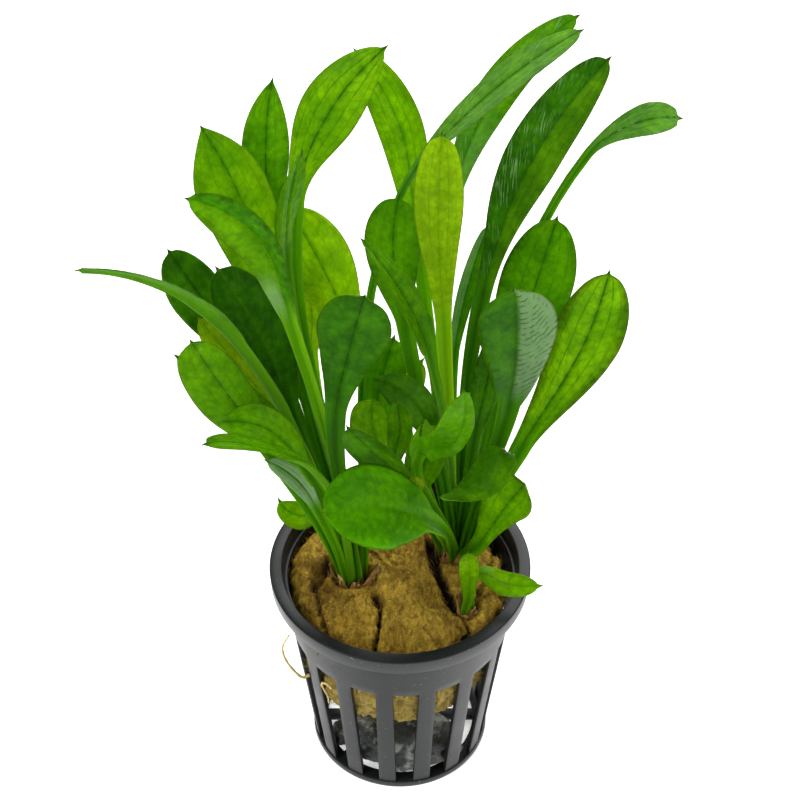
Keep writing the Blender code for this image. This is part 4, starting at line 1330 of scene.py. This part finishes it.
def tuft(foot, heading, height, width, lean):
    """A torn flap of old sheath beside the stalks: a thin ragged scale, frayed at its top."""
    shape = wrapped_grid(32, 16)
    out = direction(heading, 0)
    side = Vector((-out.y, out.x, 0))
    for corner in shape.verts:
        turn = 2 * math.pi * corner.co.x
        share = corner.co.y
        x = math.cos(turn)
        frayed = 0.75 + 0.55 * noise.noise(Vector((x * 3.1, heading, 2.0)))
        frayed += 0.25 * noise.noise(Vector((x * 9, heading, 5)))
        half = width / 2 * (1 - 0.35 * share)
        thick = TUFT_HALF_THICKNESS * math.sin(turn) * (1 - 0.8 * share)
        curl = 0.35 * x * x * half + 0.25 * noise.noise(Vector((x * 2.5, share * 2.5, heading)))
        place = foot + Vector((0, 0, height * share * frayed)) + out * (lean * share**1.5 + thick - curl)
        corner.co = place + side * (half * x)
    close_up(shape)
    return shape


# Tufts of old sheath: crown, heading, distance out from the stalks, height, width and lean
TUFTS = (
    (LEFT, 175, 0.7, 6.4, 3.0, 1.6),
    (LEFT, 230, 0.7, 5.4, 2.6, 0.9),
    (LEFT, 285, 0.7, 4.6, 3.4, 0.8),
    (LEFT, 325, 0.7, 5.6, 3.4, 2.2),
    (LEFT, 0, 0.7, 6.2, 3.2, 2.6),
    (LEFT, 100, 0.7, 5.0, 3.2, 0.8),
    (RIGHT, 131, 8.6, 11.0, 2.6, 0.6),
    (RIGHT, 180, 0.7, 9.0, 3.2, 1.4),
    (RIGHT, 230, 0.7, 5.6, 3.0, 0.8),
    (RIGHT, 285, 0.7, 5.0, 3.4, 0.9),
    (RIGHT, 345, 0.7, 4.6, 3.0, 0.8),
    (OFFSET, 175, 0.7, 7.0, 3.0, 0.3),
    (OFFSET, 120, 0.7, 6.0, 2.4, 0.2),
    (OFFSET, 300, 0.7, 3.6, 1.8, 0.5),
)


class PLANT_OT_crowns(bpy.types.Operator):
    """Models the crowns and the torn feet of old stalks round them"""

    bl_idname = "sword_plant.crowns"
    bl_label = "Crowns"

    def execute(self, context):
        finish = crown_material()
        for index, crown in enumerate(CROWNS):
            shape = crown_body(crown, index)
            for owner, heading, away, height, width, lean in TUFTS:
                if owner is crown:
                    reach = BUNDLE * crown.radius + away
                    foot = Vector((crown.x, crown.y, CROWN_TOP - TUFT_SINK))
                    foot += direction(heading, 0) * reach
                    join_in(shape, tuft(foot, heading, height, width, lean))
            add_piece(crown.name + "_stem", shape, [finish], [crown.name])
        return {"FINISHED"}


class PLANT_OT_stones(bpy.types.Operator):
    """Models the stone and the pebble that weigh the pot down"""

    bl_idname = "sword_plant.stones"
    bl_label = "Stones"

    def execute(self, context):
        pot = context.scene.sword_plant.pot
        finish = stone_material()
        for name, (centre, size, seed) in STONES.items():
            shape = bmesh.new()
            bmesh.ops.create_icosphere(shape, subdivisions=6 if name == "weight_stone" else 5, radius=0.5)
            for corner in shape.verts:
                shift = Vector((seed, 0, 0))
                rough = 1 + 0.35 * noise.noise(corner.co * 3.2 + shift)
                rough += 0.06 * noise.noise(corner.co * 9 + shift) + 0.025 * noise.noise(corner.co * 24)
                corner.co = Vector([c * s for c, s in zip(corner.co * rough, size)]) + Vector(centre)
                corner.co.z = max(corner.co.z, POT_FLOOR + GAP)
                room = wall_radius(pot, corner.co.z) - pot.wall / MM - GAP
                corner.co.xy *= min(1.0, room / max(corner.co.xy.length, GAP))
            add_piece(name + "_rock", shape, [finish], [name])
        return {"FINISHED"}


ROOT_STEPS = 14


class PLANT_OT_roots(bpy.types.Operator):
    """Models the fine roots that have grown out of the wool"""

    bl_idname = "sword_plant.roots"
    bl_label = "Roots"

    def execute(self, context):
        finish = root_material()
        for name, (thickness, *knots) in ROOTS.items():
            knots = [Vector(knot) for knot in knots]
            ends = [2 * knots[0] - knots[1], *knots, 2 * knots[-1] - knots[-2]]
            line = []
            for before, start, stop, after in zip(ends, ends[1:], ends[2:], ends[3:]):
                handles = (start, start + (stop - before) / 6, stop - (after - start) / 6, stop)
                line += [bezier(handles, step / ROOT_STEPS)[0] for step in range(ROOT_STEPS)]
            line.append(knots[-1])
            rows = len(line) - 1
            shape = wrapped_grid(10, rows)
            for corner in shape.verts:
                row = round(corner.co.y * rows)
                along = (line[min(row + 1, rows)] - line[max(row - 1, 0)]).normalized()
                side = along.cross(Vector((0.3, 1, 0.2))).normalized()
                turn = 2 * math.pi * corner.co.x
                radius = thickness / 2 * (1 - 0.5 * row / rows) * (1 + 0.12 * math.sin(row * 0.9))
                out = side * math.cos(turn) + along.cross(side) * math.sin(turn)
                corner.co = line[row] + out * radius
            close_up(shape)
            add_piece(name + "_strand", shape, [finish], [name])
        return {"FINISHED"}


class PLANT_OT_leaves(bpy.types.Operator):
    """Models every leaf with its stalk, veins and point"""

    bl_idname = "sword_plant.leaves"
    bl_label = "Leaves"

    def execute(self, context):
        sizes = context.scene.sword_plant.leaves
        greens = {tone: leaf_material(tone, sizes.vein_pitch) for tone in TONES}
        roots = roots_of_leaves()
        for index, one in enumerate(LEAVES):
            make_leaf(one, gathered(one, roots[one.name]), greens[one.tone], sizes, 3.7 * index)
        return {"FINISHED"}


class PLANT_PT_panel(bpy.types.Panel):
    """Lists the steps that build the plant"""

    bl_idname = "PLANT_PT_panel"
    bl_label = "Sword Plant"
    bl_space_type = "VIEW_3D"
    bl_region_type = "UI"
    bl_category = "Sword Plant"

    def draw(self, context):
        for step in STEPS:
            self.layout.operator(step.bl_idname)
        settings = context.scene.sword_plant
        for group in (settings.pot, settings.wool, settings.leaves, settings.stage):
            box = self.layout.box()
            for name in group.__annotations__:
                box.prop(group, name)


STEPS = (
    PLANT_OT_stage,
    PLANT_OT_net_pot,
    PLANT_OT_rock_wool,
    PLANT_OT_crowns,
    PLANT_OT_stones,
    PLANT_OT_roots,
    PLANT_OT_leaves,
)
CLASSES = (PotSettings, WoolSettings, LeafSettings, StageSettings, PlantSettings, *STEPS, PLANT_PT_panel)


def register():
    for item in CLASSES:
        bpy.utils.register_class(item)
    bpy.types.Scene.sword_plant = PointerProperty(
        type=PlantSettings, name="Sword plant", description="Settings of the potted plant"
    )


def unregister():
    del bpy.types.Scene.sword_plant
    for item in reversed(CLASSES):
        bpy.utils.unregister_class(item)


def main():
    register()
    bpy.ops.sword_plant.stage()
    bpy.ops.sword_plant.net_pot()
    bpy.ops.sword_plant.rock_wool()
    bpy.ops.sword_plant.crowns()
    bpy.ops.sword_plant.stones()
    bpy.ops.sword_plant.roots()
    bpy.ops.sword_plant.leaves()
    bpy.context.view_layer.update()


if __name__ == "__main__":
    main()
